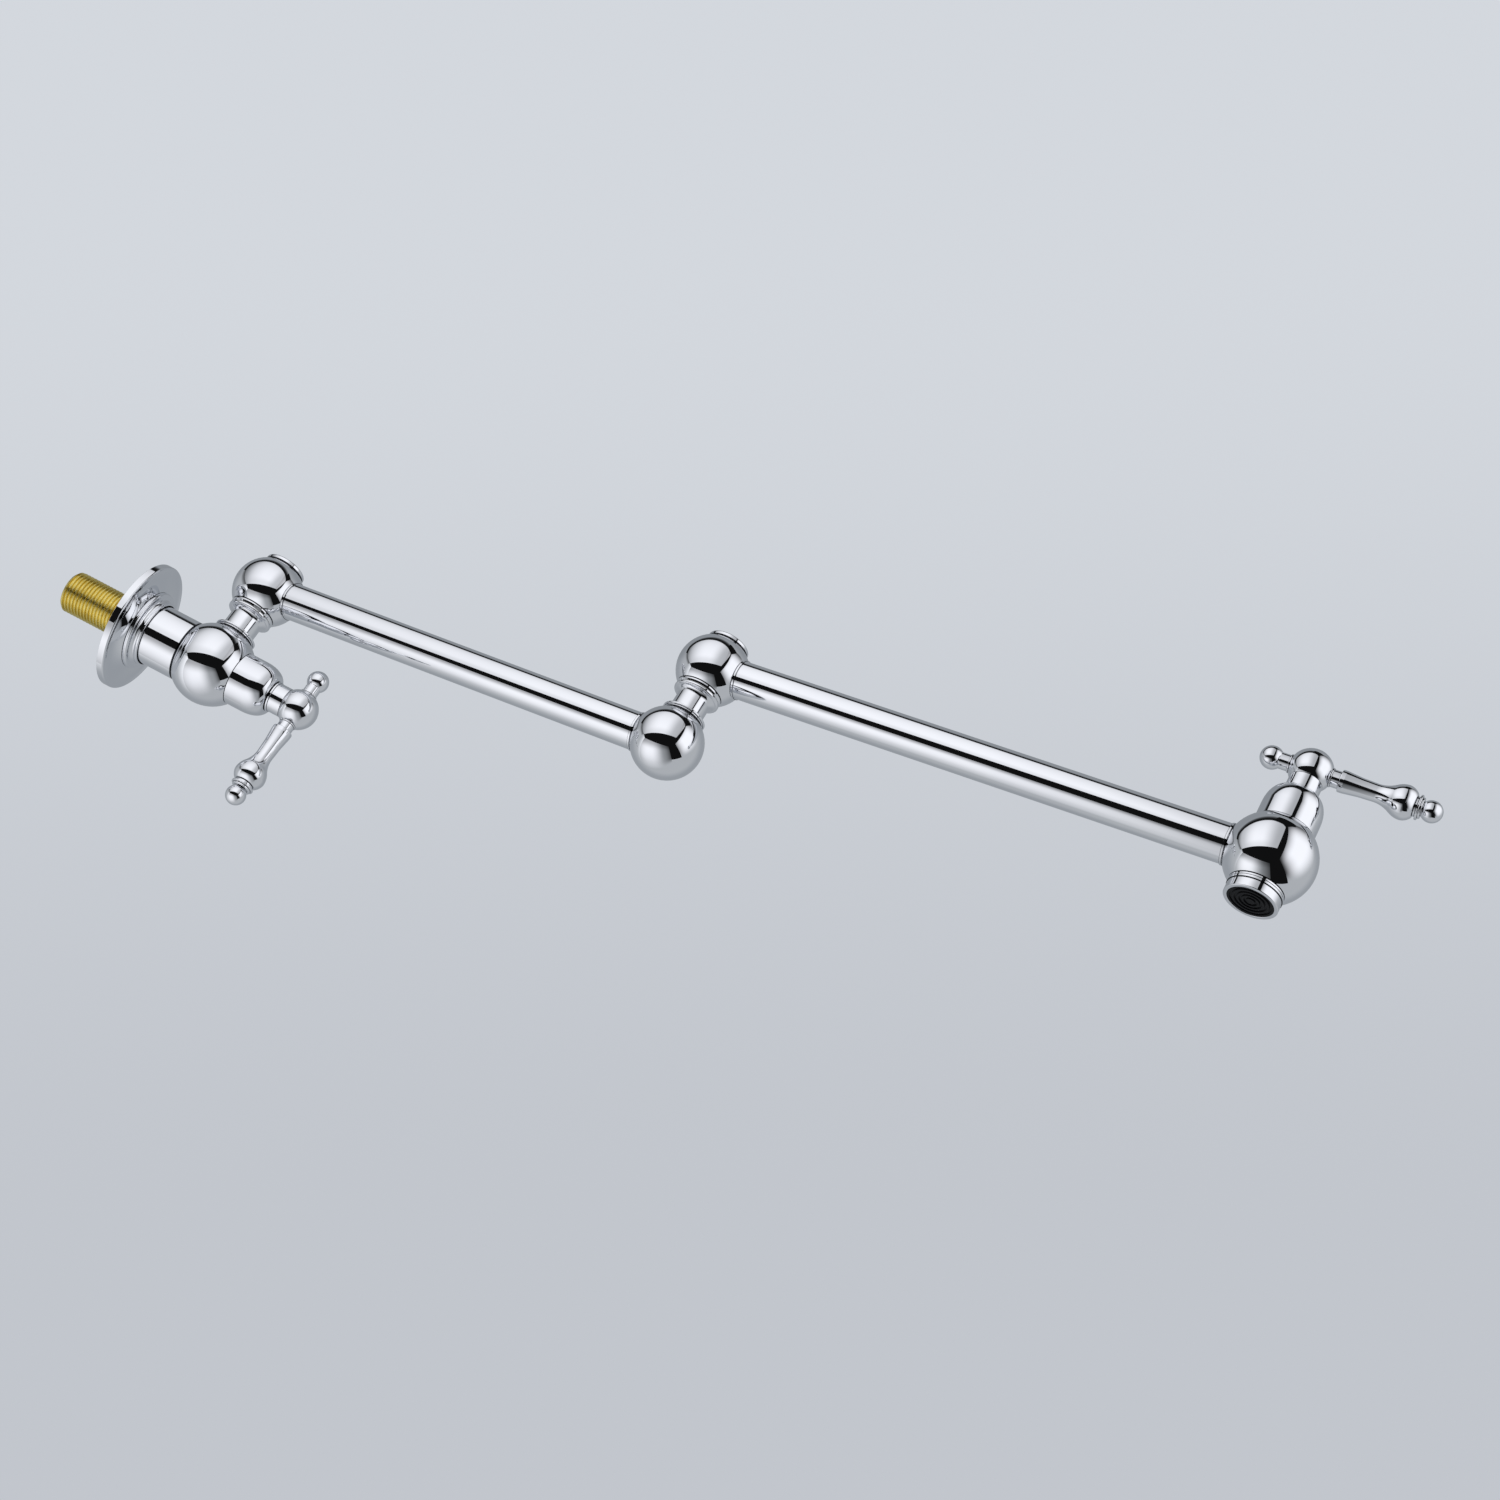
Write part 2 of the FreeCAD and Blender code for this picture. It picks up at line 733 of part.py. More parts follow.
def swivel_ball():
    """Ball that turns on the post: skirt, journal bores, water space, nut recess and tube socket."""
    low = skirt_start - post_rise
    bore_radius = journal_radius + running_clearance
    groove_end = -seat_offset(small_ball_radius, skirt_radius)
    groove_start = groove_end - skirt_groove_height
    bead_start = groove_start - skirt_bead_height
    skirt = turned([
        (low, 0),
        (low, skirt_radius - skirt_groove_height),
        (bead_start, skirt_radius),
        (groove_start, skirt_radius),
        (groove_start, skirt_groove_radius),
        (groove_end, skirt_groove_radius),
        (groove_end, 0),
    ])
    ball = Part.makeSphere(small_ball_radius)
    ball = ball.cut(rod(small_ball_radius, cap_seat, small_ball_radius + cutter_overshoot))
    ball = ball.cut(rod(small_ball_radius, -small_ball_radius - cutter_overshoot, groove_end))
    ball = ball.fuse(skirt)
    ball = ball.cut(rod(bore_radius, low - cutter_overshoot, upper_boss_top))
    ball = ball.cut(rod(nut_recess_radius, upper_boss_top, cap_seat))
    ball = ball.cut(hollow_slice(small_hollow_radius, -hollow_below_centre, hollow_above_centre))
    return ball.cut(side_rod(tube_radius, small_tube_end, small_ball_radius + cutter_overshoot)).removeSplitter()


def swivel_cap():
    """Round button over the nut recess."""
    groove_end = cap_seat + cap_groove_height
    top = cap_seat + cap_rise
    return turned([
        (cap_seat, 0),
        (cap_seat, nut_recess_radius - cap_plug_wall),
        (cap_seat - cap_plug_depth, nut_recess_radius - cap_plug_wall),
        (cap_seat - cap_plug_depth, nut_recess_radius),
        (cap_seat, nut_recess_radius),
        (cap_seat, cap_groove_radius),
        (groove_end, cap_groove_radius),
        (groove_end, cap_seat_radius),
        (top - cap_edge_bevel, cap_seat_radius),
        (top, cap_seat_radius - cap_edge_bevel),
        (top, 0),
    ])


def elbow_ball():
    """Ball at the end of the first arm, with the tube on local -X and the second post on top."""
    seat = seat_offset(small_ball_radius, post_seat_radius)
    ball = Part.makeSphere(small_ball_radius)
    ball = ball.cut(rod(small_ball_radius, seat, small_ball_radius + cutter_overshoot))
    ball = ball.cut(rod(journal_radius, seat - post_stub_length, seat + cutter_overshoot))
    ball = ball.cut(rod(post_bore_radius, 0, seat))
    ball = ball.cut(hollow_slice(small_hollow_radius, -elbow_hollow_below, elbow_hollow_above))
    return ball.cut(side_rod(tube_radius, -small_ball_radius - cutter_overshoot, -small_tube_end))


def arm_tube(start, end):
    """Straight tube between two balls."""
    inner_radius = tube_radius - tube_wall
    return side_rod(tube_radius, start, end).cut(side_rod(inner_radius, start, end))


def seam_ring(start, end):
    """Thin ring that covers the joint of a tube and a ball."""
    outer_radius = tube_radius + seam_ring_rise
    return side_rod(outer_radius, start, end).cut(side_rod(tube_radius, start, end))


# --- Outlet: drawn with the outlet along local -Z -------------------------------------------------------
outlet_seat = seat_offset(large_ball_radius, outlet_seat_radius)
outlet_ring_end = outlet_seat + outlet_step_height + outlet_groove_height + outlet_bead_height
aerator_end = outlet_ring_end + aerator_height
insert_end = aerator_end - insert_recess
insert_start = insert_end - insert_height
outlet_socket_end = outlet_seat - socket_depth
aerator_thread_top = outlet_socket_end + aerator_washer_height


def outlet_ball():
    """Last ball: the arm tube on local -X, the second valve on top and the outlet below."""
    ball = large_ball(outlet_seat_radius)
    ball = ball.cut(side_rod(tube_radius, -large_ball_radius - cutter_overshoot, -large_tube_end))
    inner_radius = tube_radius - tube_wall
    # The passage stays above the seat port, so that water reaches the outlet through the valve only.
    passage = side_rod(inner_radius, -large_tube_end, -cartridge_radius)
    upper_half = Part.makeBox(
        2 * large_ball_radius, 2 * large_ball_radius, large_ball_radius,
        Vector(-2 * large_ball_radius, -large_ball_radius, chamber_start))
    return ball.cut(passage.common(upper_half))


def outlet_ring():
    """Ringed spigot that screws into the outlet ball and takes the aerator."""
    step_end = outlet_seat + outlet_step_height
    groove_end = step_end + outlet_groove_height
    return turned([
        (outlet_socket_end, aerator_thread_radius),
        (outlet_socket_end, socket_radius),
        (outlet_seat, socket_radius),
        (outlet_seat, outlet_seat_radius),
        (step_end, outlet_seat_radius),
        (step_end, outlet_groove_radius),
        (groove_end, outlet_groove_radius),
        (groove_end, outlet_bead_radius),
        (outlet_ring_end, outlet_bead_radius),
        (outlet_ring_end, aerator_thread_radius),
    ])


def aerator_housing():
    """Aerator sleeve: a thread that screws up into the outlet ring and a plain cylinder below."""
    lip_radius = aerator_radius - aerator_lip
    return turned([
        (aerator_thread_top, aerator_bore_radius),
        (aerator_thread_top, aerator_thread_radius),
        (outlet_ring_end, aerator_thread_radius),
        (outlet_ring_end, aerator_radius),
        (aerator_end - aerator_edge_bevel, aerator_radius),
        (aerator_end, aerator_radius - aerator_edge_bevel),
        (aerator_end, lip_radius),
        (insert_start, lip_radius),
        (insert_start, aerator_bore_radius),
    ])


def aerator_insert():
    """Black insert with round ribs on the face that the water leaves."""
    outer_radius = aerator_radius - aerator_lip
    pitch = (outer_radius - insert_hub_radius) / (2 * insert_ring_count + 1)
    groove_floor = insert_end - insert_ring_depth
    outline = [(insert_start, 0), (insert_start, outer_radius), (insert_end, outer_radius)]
    for step in range(insert_ring_count):
        groove_outer = outer_radius - (2 * step + 1) * pitch
        groove_inner = groove_outer - pitch
        outline += [
            (insert_end, groove_outer),
            (groove_floor, groove_outer),
            (groove_floor, groove_inner),
            (insert_end, groove_inner),
        ]
    outline += [(insert_end, 0)]
    return turned(outline)


def aerator_screen():
    """Fine screen on top of the insert."""
    return rod(aerator_bore_radius, insert_start - screen_height, insert_start)


def aerator_washer():
    """Rubber washer between the ball and the aerator thread."""
    return ring(aerator_washer_bore, aerator_thread_radius, outlet_socket_end, aerator_thread_top)


# --- Assembly ---------------------------------------------------------------------------------------------
def place(shape, frame):
    """Copy of a shape set in a frame."""
    placed = shape.copy()
    placed.Placement = frame.multiply(placed.Placement)
    return placed


def valve_pieces(number, frame):
    """The fixed cartridge pieces and the bonnet of one valve."""
    pieces = {
        "seat_seal": seat_seal(),
        "fixed_disc": ported_disc(disc_radius, fixed_disc_start),
        "cartridge_body": cartridge_body(),
        "bonnet": bonnet(),
    }
    return {f"{name}_{number}": place(shape, frame) for name, shape in pieces.items()}


def handle_pieces(number, frame):
    """The pieces that turn with one handle, with the lever along the frame's X."""
    along_lever = frame_at(Vector(0, 0, hub_station), Vector(1, 0, 0), Vector(0, 1, 0))
    along_finial = frame_at(Vector(0, 0, hub_station), Vector(-1, 0, 0), Vector(0, 1, 0))
    pieces = {
        "moving_disc": ported_disc(disc_radius - free_clearance, moving_disc_start),
        "stem": stem(),
        "handle_collar": handle_collar(),
        "handle_hub": handle_hub(),
        "lever": place(lever(), along_lever),
        "finial": place(finial(), along_finial),
    }
    return {f"{name}_{number}": place(shape, frame) for name, shape in pieces.items()}


def post_pieces(number, frame):
    """The post and what is fixed to it."""
    pieces = {
        "swivel_post": swivel_post(),
        "lower_seal": post_seal(lower_seal),
        "upper_seal": post_seal(upper_seal),
        "slip_washer": slip_washer(),
        "retaining_washer": retaining_washer(),
        "retaining_nut": retaining_nut(),
    }
    return {f"{name}_{number}": place(shape, frame) for name, shape in pieces.items()}


def arm_pieces(number, frame, length, far_ball_radius, far_tube_end):
    """The swivel ball, its cap, the tube and the tube's two seam rings."""
    near_ring_start = seat_offset(small_ball_radius, tube_radius)
    far_ring_end = length - seat_offset(far_ball_radius, tube_radius)
    pieces = {
        "swivel_ball": swivel_ball(),
        "swivel_cap": swivel_cap(),
        "arm_tube": arm_tube(small_tube_end, length - far_tube_end),
        "near_ring": seam_ring(near_ring_start, near_ring_start + seam_ring_width),
        "far_ring": seam_ring(far_ring_end - seam_ring_width, far_ring_end),
    }
    return {f"{name}_{number}": place(shape, frame) for name, shape in pieces.items()}


def build():
    """All pieces of the faucet, by name."""
    up = Vector(0, 0, 1)
    out = Vector(0, -1, 0)
    along_1 = heading(arm_1_swing)
    along_2 = heading(arm_2_swing)

    valve_centre = out * wall_to_valve
    post_1_seat = valve_centre + up * seat_offset(large_ball_radius, post_seat_radius)
    swivel_1_centre = post_1_seat + up * post_rise
    elbow_centre = swivel_1_centre + along_1 * arm_1_length
    post_2_seat = elbow_centre + up * seat_offset(small_ball_radius, post_seat_radius)
    swivel_2_centre = post_2_seat + up * post_rise
    outlet_centre = swivel_2_centre + along_2 * arm_2_length

    inlet = frame_at(Vector(0, 0, 0), out, Vector(1, 0, 0))
    valve_1 = frame_at(valve_centre, out, up * -1)
    valve_2 = frame_at(outlet_centre, up, along_2)
    handle_2 = frame_at(outlet_centre, up, heading(outlet_lever_swing))
    arm_1 = frame_at(swivel_1_centre, up, along_1)
    elbow = frame_at(elbow_centre, up, along_1)
    arm_2 = frame_at(swivel_2_centre, up, along_2)
    outlet = frame_at(outlet_centre, up * -1, along_2)

    pieces = {
        "inlet_nipple": place(inlet_nipple(), inlet),
        "inlet_neck": place(inlet_neck(), inlet),
        "wall_plate": place(wall_plate(), inlet),
        "plate_collar": place(plate_collar(), inlet),
        "plate_seal": place(plate_seal(), inlet),
        "wall_gasket": place(wall_gasket(), inlet),
        "valve_ball": place(valve_ball(), valve_1),
        "elbow_ball": place(elbow_ball(), elbow),
        "outlet_ball": place(outlet_ball(), valve_2),
        "outlet_ring": place(outlet_ring(), outlet),
        "aerator_housing": place(aerator_housing(), outlet),
        "aerator_insert": place(aerator_insert(), outlet),
        "aerator_screen": place(aerator_screen(), outlet),
        "aerator_washer": place(aerator_washer(), outlet),
    }
    pieces.update(valve_pieces(1, valve_1))
    pieces.update(valve_pieces(2, valve_2))
    pieces.update(handle_pieces(1, valve_1))
    pieces.update(handle_pieces(2, handle_2))
    pieces.update(post_pieces(1, frame_at(post_1_seat, up, along_1)))
    pieces.update(post_pieces(2, frame_at(post_2_seat, up, along_2)))
    pieces.update(arm_pieces(1, arm_1, arm_1_length, small_ball_radius, small_tube_end))
    pieces.update(arm_pieces(2, arm_2, arm_2_length, large_ball_radius, large_tube_end))
    return pieces


os.makedirs("parts", exist_ok=True)
for node, solid in build().items():
    solid.exportStep(f"parts/{node}.step")
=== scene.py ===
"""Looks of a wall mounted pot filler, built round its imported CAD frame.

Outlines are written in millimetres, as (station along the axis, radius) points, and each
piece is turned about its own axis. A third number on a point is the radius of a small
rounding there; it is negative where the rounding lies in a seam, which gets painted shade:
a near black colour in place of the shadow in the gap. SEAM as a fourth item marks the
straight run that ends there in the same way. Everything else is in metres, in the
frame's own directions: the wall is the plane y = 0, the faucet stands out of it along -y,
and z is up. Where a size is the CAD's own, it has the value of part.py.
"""

import json
import math

import bpy
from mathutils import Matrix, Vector

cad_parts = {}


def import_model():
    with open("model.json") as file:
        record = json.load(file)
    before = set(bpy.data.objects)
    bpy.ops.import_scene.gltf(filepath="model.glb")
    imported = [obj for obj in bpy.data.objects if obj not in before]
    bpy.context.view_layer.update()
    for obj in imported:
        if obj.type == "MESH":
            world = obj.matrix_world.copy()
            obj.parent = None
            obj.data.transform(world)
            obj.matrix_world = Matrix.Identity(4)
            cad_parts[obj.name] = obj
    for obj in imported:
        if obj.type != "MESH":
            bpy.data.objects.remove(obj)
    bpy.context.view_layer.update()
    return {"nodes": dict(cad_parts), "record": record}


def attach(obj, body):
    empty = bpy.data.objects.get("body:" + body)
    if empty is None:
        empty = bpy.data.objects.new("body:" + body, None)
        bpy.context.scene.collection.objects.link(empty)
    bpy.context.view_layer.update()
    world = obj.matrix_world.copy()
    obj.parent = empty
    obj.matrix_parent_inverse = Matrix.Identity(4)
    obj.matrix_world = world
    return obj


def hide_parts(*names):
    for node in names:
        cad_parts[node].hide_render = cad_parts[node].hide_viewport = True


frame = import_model()

MM = 0.001

# --- Camera and studio, in the photograph's own directions ---
CAMERA_AT = Vector((-0.992831, -0.448190, -0.416165))
CAMERA_AHEAD = Vector((0.88133937, 0.14210945, 0.45060605))
CAMERA_DOWN = Vector((0.46279295, -0.45180913, -0.76268683))
CAMERA_RIGHT = Vector((-0.09520292, -0.88072324, 0.46396442))
FOCAL_PIXELS = 2330.4
IMAGE_PIXELS = 1500
SENSOR_WIDTH = 36.0
NEAREST_SEEN = 0.05
FLOOR_HEIGHT = -0.62
FLOOR_HALF_WIDTH = 40.0

# --- Sizes of the faucet, in millimetres ---
LARGE_BALL = 20.2
SMALL_BALL = 17.2
WALL_TO_VALVE = 43.0
ARM_1_LENGTH = 226.0
ARM_2_LENGTH = 270.5
ARM_1_SWING = -13.86
ARM_2_SWING = -16.21
OUTLET_LEVER_SWING = -14.2
POST_RISE = 29.8
HUB_STATION = 48.1
THREAD_RADIUS = 20.955 / 2
THREAD_REACH = 37.5
THREAD_PITCH = 25.4 / 14
THREAD_DEPTH = 1.05
TUBE_RADIUS = 9.05
EDGE = 0.25  # usual rounding of a polished edge
FINE_EDGE = 0.12
SEAM = True  # mark of a straight run that lies in a seam, which gets painted shade
FREE_CLEARANCE = 0.3  # between pieces that must not touch
FLARE_SAG = 0.25  # share of its rise that a flare has gained half way along

ARC_STEP = math.radians(6)
ROUNDING_SHARE = 0.45  # most of a run that a rounding at one end may take
SHORTEST_RUN = 1e-6
SEGMENTS = 112  # around each turned piece
BROAD_SEGMENTS = 144  # around the plate and the large balls


# --- Turned pieces ---
def seat(ball_radius, seat_radius):
    """Distance from a ball's centre to the flat whose rim has the given radius."""
    return math.sqrt(ball_radius ** 2 - seat_radius ** 2)


def arc_through(start, middle, end):
    """Points along the arc through three points, each with the direction away from its centre."""
    ax, ay = start
    bx, by = middle
    cx, cy = end
    det = 2 * (ax * (by - cy) + bx * (cy - ay) + cx * (ay - by))
    a2, b2, c2 = ax * ax + ay * ay, bx * bx + by * by, cx * cx + cy * cy
    ox = (a2 * (by - cy) + b2 * (cy - ay) + c2 * (ay - by)) / det
    oy = (a2 * (cx - bx) + b2 * (ax - cx) + c2 * (bx - ax)) / det
    radius = math.hypot(ax - ox, ay - oy)
    first, via, last = (math.atan2(y - oy, x - ox) for x, y in (start, middle, end))
    via, last = (via - first) % (2 * math.pi), (last - first) % (2 * math.pi)
    sweep = last if via < last else last - 2 * math.pi
    steps = max(2, math.ceil(abs(sweep) / ARC_STEP))
    points = []
    for step in range(steps + 1):
        angle = first + sweep * step / steps
        points.append(((ox + radius * math.cos(angle), oy + radius * math.sin(angle)),
                       (math.cos(angle), math.sin(angle))))
    return points


def corner_points(before, corner, after, size):
    """Where the rounding of a corner starts, its middle, and where it ends."""
    to_before = Vector(before) - Vector(corner)
    to_after = Vector(after) - Vector(corner)
    size = min(size, ROUNDING_SHARE * to_before.length, ROUNDING_SHARE * to_after.length)
    half = to_before.angle(to_after) / 2
    to_before.normalize()
    to_after.normalize()
    start = Vector(corner) + to_before * size
    end = Vector(corner) + to_after * size
    inward = (to_before + to_after).normalized()
    centre_distance = size / math.cos(half)
    middle = Vector(corner) + inward * (centre_distance - size * math.tan(half))
    return tuple(start), tuple(middle), tuple(end)


def quarter_round(start, end, leaves_along):
    """Quarter round item. It leaves start along the axis, or square to the axis."""
    centre = (start[0], end[1]) if leaves_along else (end[0], start[1])
    share = math.sqrt(0.5)
    via = [c + share * (a - c) + share * (b - c) for a, b, c in zip(start, end, centre)]
    return (tuple(via), end)


def flare(start, end, leaves_along):
    """Flat arc item, level with the axis where it leaves start, or else where it reaches end."""
    share = FLARE_SAG if leaves_along else 1 - FLARE_SAG
    via = ((start[0] + end[0]) / 2, start[1] + share * (end[1] - start[1]))
    return (via, end)


def outline_pieces(outline):
    """A closed outline as runs of (point, direction square to the run), one per smooth piece.

    The second list says which runs lie in a seam, and so get painted shade.
    """
    ends = [item[1] if isinstance(item[0], tuple) else item for item in outline]
    count = len(outline)
    starts, runs, seams = [], [], []
    for index, item in enumerate(outline):
        following = outline[(index + 1) % count]
        straight = not isinstance(item[0], tuple) and not isinstance(following[0], tuple)
        rounding = ends[index][2] if len(ends[index]) > 2 else 0
        here = tuple(ends[index][:2])
        if rounding and straight:
            before = tuple(ends[index - 1][:2])
            after = tuple(ends[(index + 1) % count][:2])
            starts.append(corner_points(before, here, after, abs(rounding)))
        else:
            starts.append((here, None, here))
    for index in range(count):
        begin, middle, finish = starts[index]
        if middle:
            runs.append(arc_through(begin, middle, finish))
            seams.append(ends[index][2] < 0)
        following = outline[(index + 1) % count]
        target = starts[(index + 1) % count][0]
        if isinstance(following[0], tuple):
            runs.append(arc_through(finish, following[0], target))
            seams.append(False)
        elif math.dist(finish, target) > SHORTEST_RUN:
            along = (Vector(target) - Vector(finish)).normalized()
            square = (along.y, -along.x)
            runs.append([(finish, square), (target, square)])
            seams.append(len(following) > 3)
    return runs, seams


def outward(runs):
    """The runs with every direction pointing out of the closed outline, and its winding."""
    area = 0.0
    for run in runs:
        for (a, _), (b, _) in zip(run, run[1:]):
            area += a[0] * b[1] - b[0] * a[1]
    sign = 1 if area > 0 else -1
    fixed = []
    for run in runs:
        new = []
        for index, (point, square) in enumerate(run):
            a = run[max(index - 1, 0)][0]
            b = run[min(index + 1, len(run) - 1)][0]
            out = ((b[1] - a[1]) * sign, -(b[0] - a[0]) * sign)
            flip = 1 if out[0] * square[0] + out[1] * square[1] > 0 else -1
            new.append((point, (square[0] * flip, square[1] * flip)))
        fixed.append(new)
    return fixed, sign


class Place:
    """A local frame: Z is the turning axis, stations run along it."""

    def __init__(self, origin, axis, across):
        self.origin = Vector(origin)
        self.z = Vector(axis).normalized()
        self.x = Vector(across).normalized()
        self.y = self.z.cross(self.x)

    def point(self, x, y, z):
        return self.origin + (self.x * x + self.y * y + self.z * z) * MM

    def direction(self, x, y, z):
        return self.x * x + self.y * y + self.z * z

    def moved(self, station):
        return Place(self.point(0, 0, station), self.z, self.x)


def add_object(name, data):
    obj = bpy.data.objects.new(name, data)
    bpy.context.scene.collection.objects.link(obj)
    return obj


def mesh_object(name, points, faces, normals=None, seams=None):
    """New object, with a shading direction for each corner and, for each face, a mark for painted
    seam shade.
    """
    mesh = bpy.data.meshes.new(name)
    mesh.from_pydata(points, [], faces)
    mesh.update()
    for polygon in mesh.polygons:
        polygon.use_smooth = True
    if normals:
        mesh.normals_split_custom_set(normals)
    if seams and any(seams):
        mesh.attributes.new("seam_shade", "FLOAT", "FACE").data.foreach_set("value", seams)
    return add_object(name, mesh)


def turn(name, outline, place, segments=SEGMENTS):
    """Solid of revolution of a closed outline, with exact shading directions."""
    runs, seams = outline_pieces(outline)
    runs, sign = outward(runs)
    points, faces, normals, marks = [], [], [], []
    angles = [2 * math.pi * step / segments for step in range(segments)]
    turns = [(math.cos(angle), math.sin(angle)) for angle in angles]

    def on_axis(point):
        return point[1] < SHORTEST_RUN

    def rim(point):
        start = len(points)
        if on_axis(point):
            points.append(place.point(0, 0, point[0]))
            return [start] * segments
        for c, s in turns:
            points.append(place.point(point[1] * c, point[1] * s, point[0]))
        return list(range(start, start + segments))

    def square(direction, step):
        c, s = turns[step % segments]
        return place.direction(direction[1] * c, direction[1] * s, direction[0]).normalized()

    first = rim(runs[0][0][0])
    previous = first
    for number, run in enumerate(runs):
        for index in range(1, len(run)):
            last = number == len(runs) - 1 and index == len(run) - 1
            ring = first if last else rim(run[index][0])
            if on_axis(run[index - 1][0]) and on_axis(run[index][0]):
                previous = ring
                continue
            before, after = run[index - 1][1], run[index][1]
            for step in range(segments):
                following = (step + 1) % segments
                corners = [(previous[step], before, step), (previous[following], before, step + 1),
                           (ring[following], after, step + 1), (ring[step], after, step)]
                kept = []
                for corner in corners:
                    if not kept or all(corner[0] != other[0] for other in kept):
                        kept.append(corner)
                if sign > 0:
                    kept.reverse()
                faces.append([corner[0] for corner in kept])
                normals += [square(corner[1], corner[2]) for corner in kept]
                # faces of a run in a seam are marked for painted shade
                marks.append(1.0 if seams[number] else 0.0)
            previous = ring
    return mesh_object(name, points, faces, normals, marks)


# --- Where the pieces stand ---
def heading(degrees):
    """Level direction at an angle from square to the wall."""
    angle = math.radians(degrees)
    return Vector((math.sin(angle), -math.cos(angle), 0))


UP = Vector((0, 0, 1))
OUT = Vector((0, -1, 0))
ALONG_1 = heading(ARM_1_SWING)
ALONG_2 = heading(ARM_2_SWING)
POST_SEAT_RADIUS = 9.6
VALVE_CENTRE = OUT * WALL_TO_VALVE * MM
POST_1_SEAT = VALVE_CENTRE + UP * seat(LARGE_BALL, POST_SEAT_RADIUS) * MM
SWIVEL_1 = POST_1_SEAT + UP * POST_RISE * MM
ELBOW = SWIVEL_1 + ALONG_1 * ARM_1_LENGTH * MM
POST_2_SEAT = ELBOW + UP * seat(SMALL_BALL, POST_SEAT_RADIUS) * MM
SWIVEL_2 = POST_2_SEAT + UP * POST_RISE * MM
OUTLET_CENTRE = SWIVEL_2 + ALONG_2 * ARM_2_LENGTH * MM

INLET_PLACE = Place((0, 0, 0), OUT, (1, 0, 0))
VALVE_PLACES = {1: Place(VALVE_CENTRE, OUT, -UP), 2: Place(OUTLET_CENTRE, UP, ALONG_2)}
HANDLE_PLACES = {1: VALVE_PLACES[1], 2: Place(OUTLET_CENTRE, UP, heading(OUTLET_LEVER_SWING))}
POST_PLACES = {1: Place(POST_1_SEAT, UP, ALONG_1), 2: Place(POST_2_SEAT, UP, ALONG_2)}
BALL_PLACES = {1: Place(SWIVEL_1, UP, ALONG_1), 2: Place(SWIVEL_2, UP, ALONG_2)}
TUBE_PLACES = {1: Place(SWIVEL_1, ALONG_1, UP), 2: Place(SWIVEL_2, ALONG_2, UP)}
OUTLET_PLACE = Place(OUTLET_CENTRE, -UP, ALONG_2)


# --- Nodes ---
class Nodes:
    """Short names for the shader nodes that the materials use."""

    def __init__(self, tree):
        self.tree = tree

    def add(self, kind, **settings):
        node = self.tree.nodes.new(kind)
        for key, value in settings.items():
            setattr(node, key, value)
        return node

    def feed(self, socket, value):
        if isinstance(value, bpy.types.NodeSocket):
            self.tree.links.new(value, socket)
        else:
            socket.default_value = value

    def math(self, operation, a, b=0.0, c=0.0):
        node = self.add("ShaderNodeMath", operation=operation)
        self.feed(node.inputs[0], a)
        self.feed(node.inputs[1], b)
        self.feed(node.inputs[2], c)
        return node.outputs[0]

    def vector(self, operation, a, b=(0, 0, 0), output=0):
        node = self.add("ShaderNodeVectorMath", operation=operation)
        self.feed(node.inputs[0], a)
        self.feed(node.inputs[1], b)
        return node.outputs[output]

    def dot(self, a, b):
        return self.vector("DOT_PRODUCT", a, b, output="Value")

    def span(self, value, low, high, out_low=0.0, out_high=1.0):
        """Smooth step of a value between two limits."""
        node = self.add("ShaderNodeMapRange", interpolation_type="SMOOTHSTEP")
        for index, part in enumerate((value, low, high, out_low, out_high)):
            self.feed(node.inputs[index], part)
        return node.outputs[0]

    def fade(self, value, low, high):
        """Smooth step from 1 down to 0."""
        return self.span(value, low, high, 1.0, 0.0)

    def noise(self, scale, detail, roughness, coordinates):
        node = self.add("ShaderNodeTexNoise")
        node.inputs["Scale"].default_value = scale
        node.inputs["Detail"].default_value = detail
        node.inputs["Roughness"].default_value = roughness
        self.feed(node.inputs["Vector"], coordinates)
        return node.outputs["Fac"]

    def mix(self, factor, a, b):
        node = self.add("ShaderNodeMix", data_type="RGBA")
        self.feed(node.inputs["Factor"], factor)
        self.feed(node.inputs["A"], a)
        self.feed(node.inputs["B"], b)
        return node.outputs["Result"]

    def product(self, a, b):
        return self.math("MULTIPLY", a, b)

    def surface(self, shader, colour, roughness, height, strength, distance):
        """Colour, roughness and a slight relief, under 0.1 mm, of a surface."""
        self.feed(shader.inputs["Base Color"], colour)
        self.feed(shader.inputs["Roughness"], roughness)
        bump = self.add("ShaderNodeBump")
        bump.inputs["Strength"].default_value = strength
        bump.inputs["Distance"].default_value = distance
        self.feed(bump.inputs["Height"], height)
        self.feed(shader.inputs["Normal"], bump.outputs["Normal"])


def material(name):
    """New material, its nodes and its surface shader."""
    made = bpy.data.materials.new(name)
    made.use_nodes = True
    nodes = Nodes(made.node_tree)
    return made, nodes, made.node_tree.nodes["Principled BSDF"]


def object_coordinates(nodes):
    return nodes.add("ShaderNodeTexCoord").outputs["Object"]


# Painted shade: the near black colour that polished faces in a seam get, standing in for the shadow
# in the gap.
PAINTED_SEAM_SHADE = (0.03, 0.032, 0.036, 1)


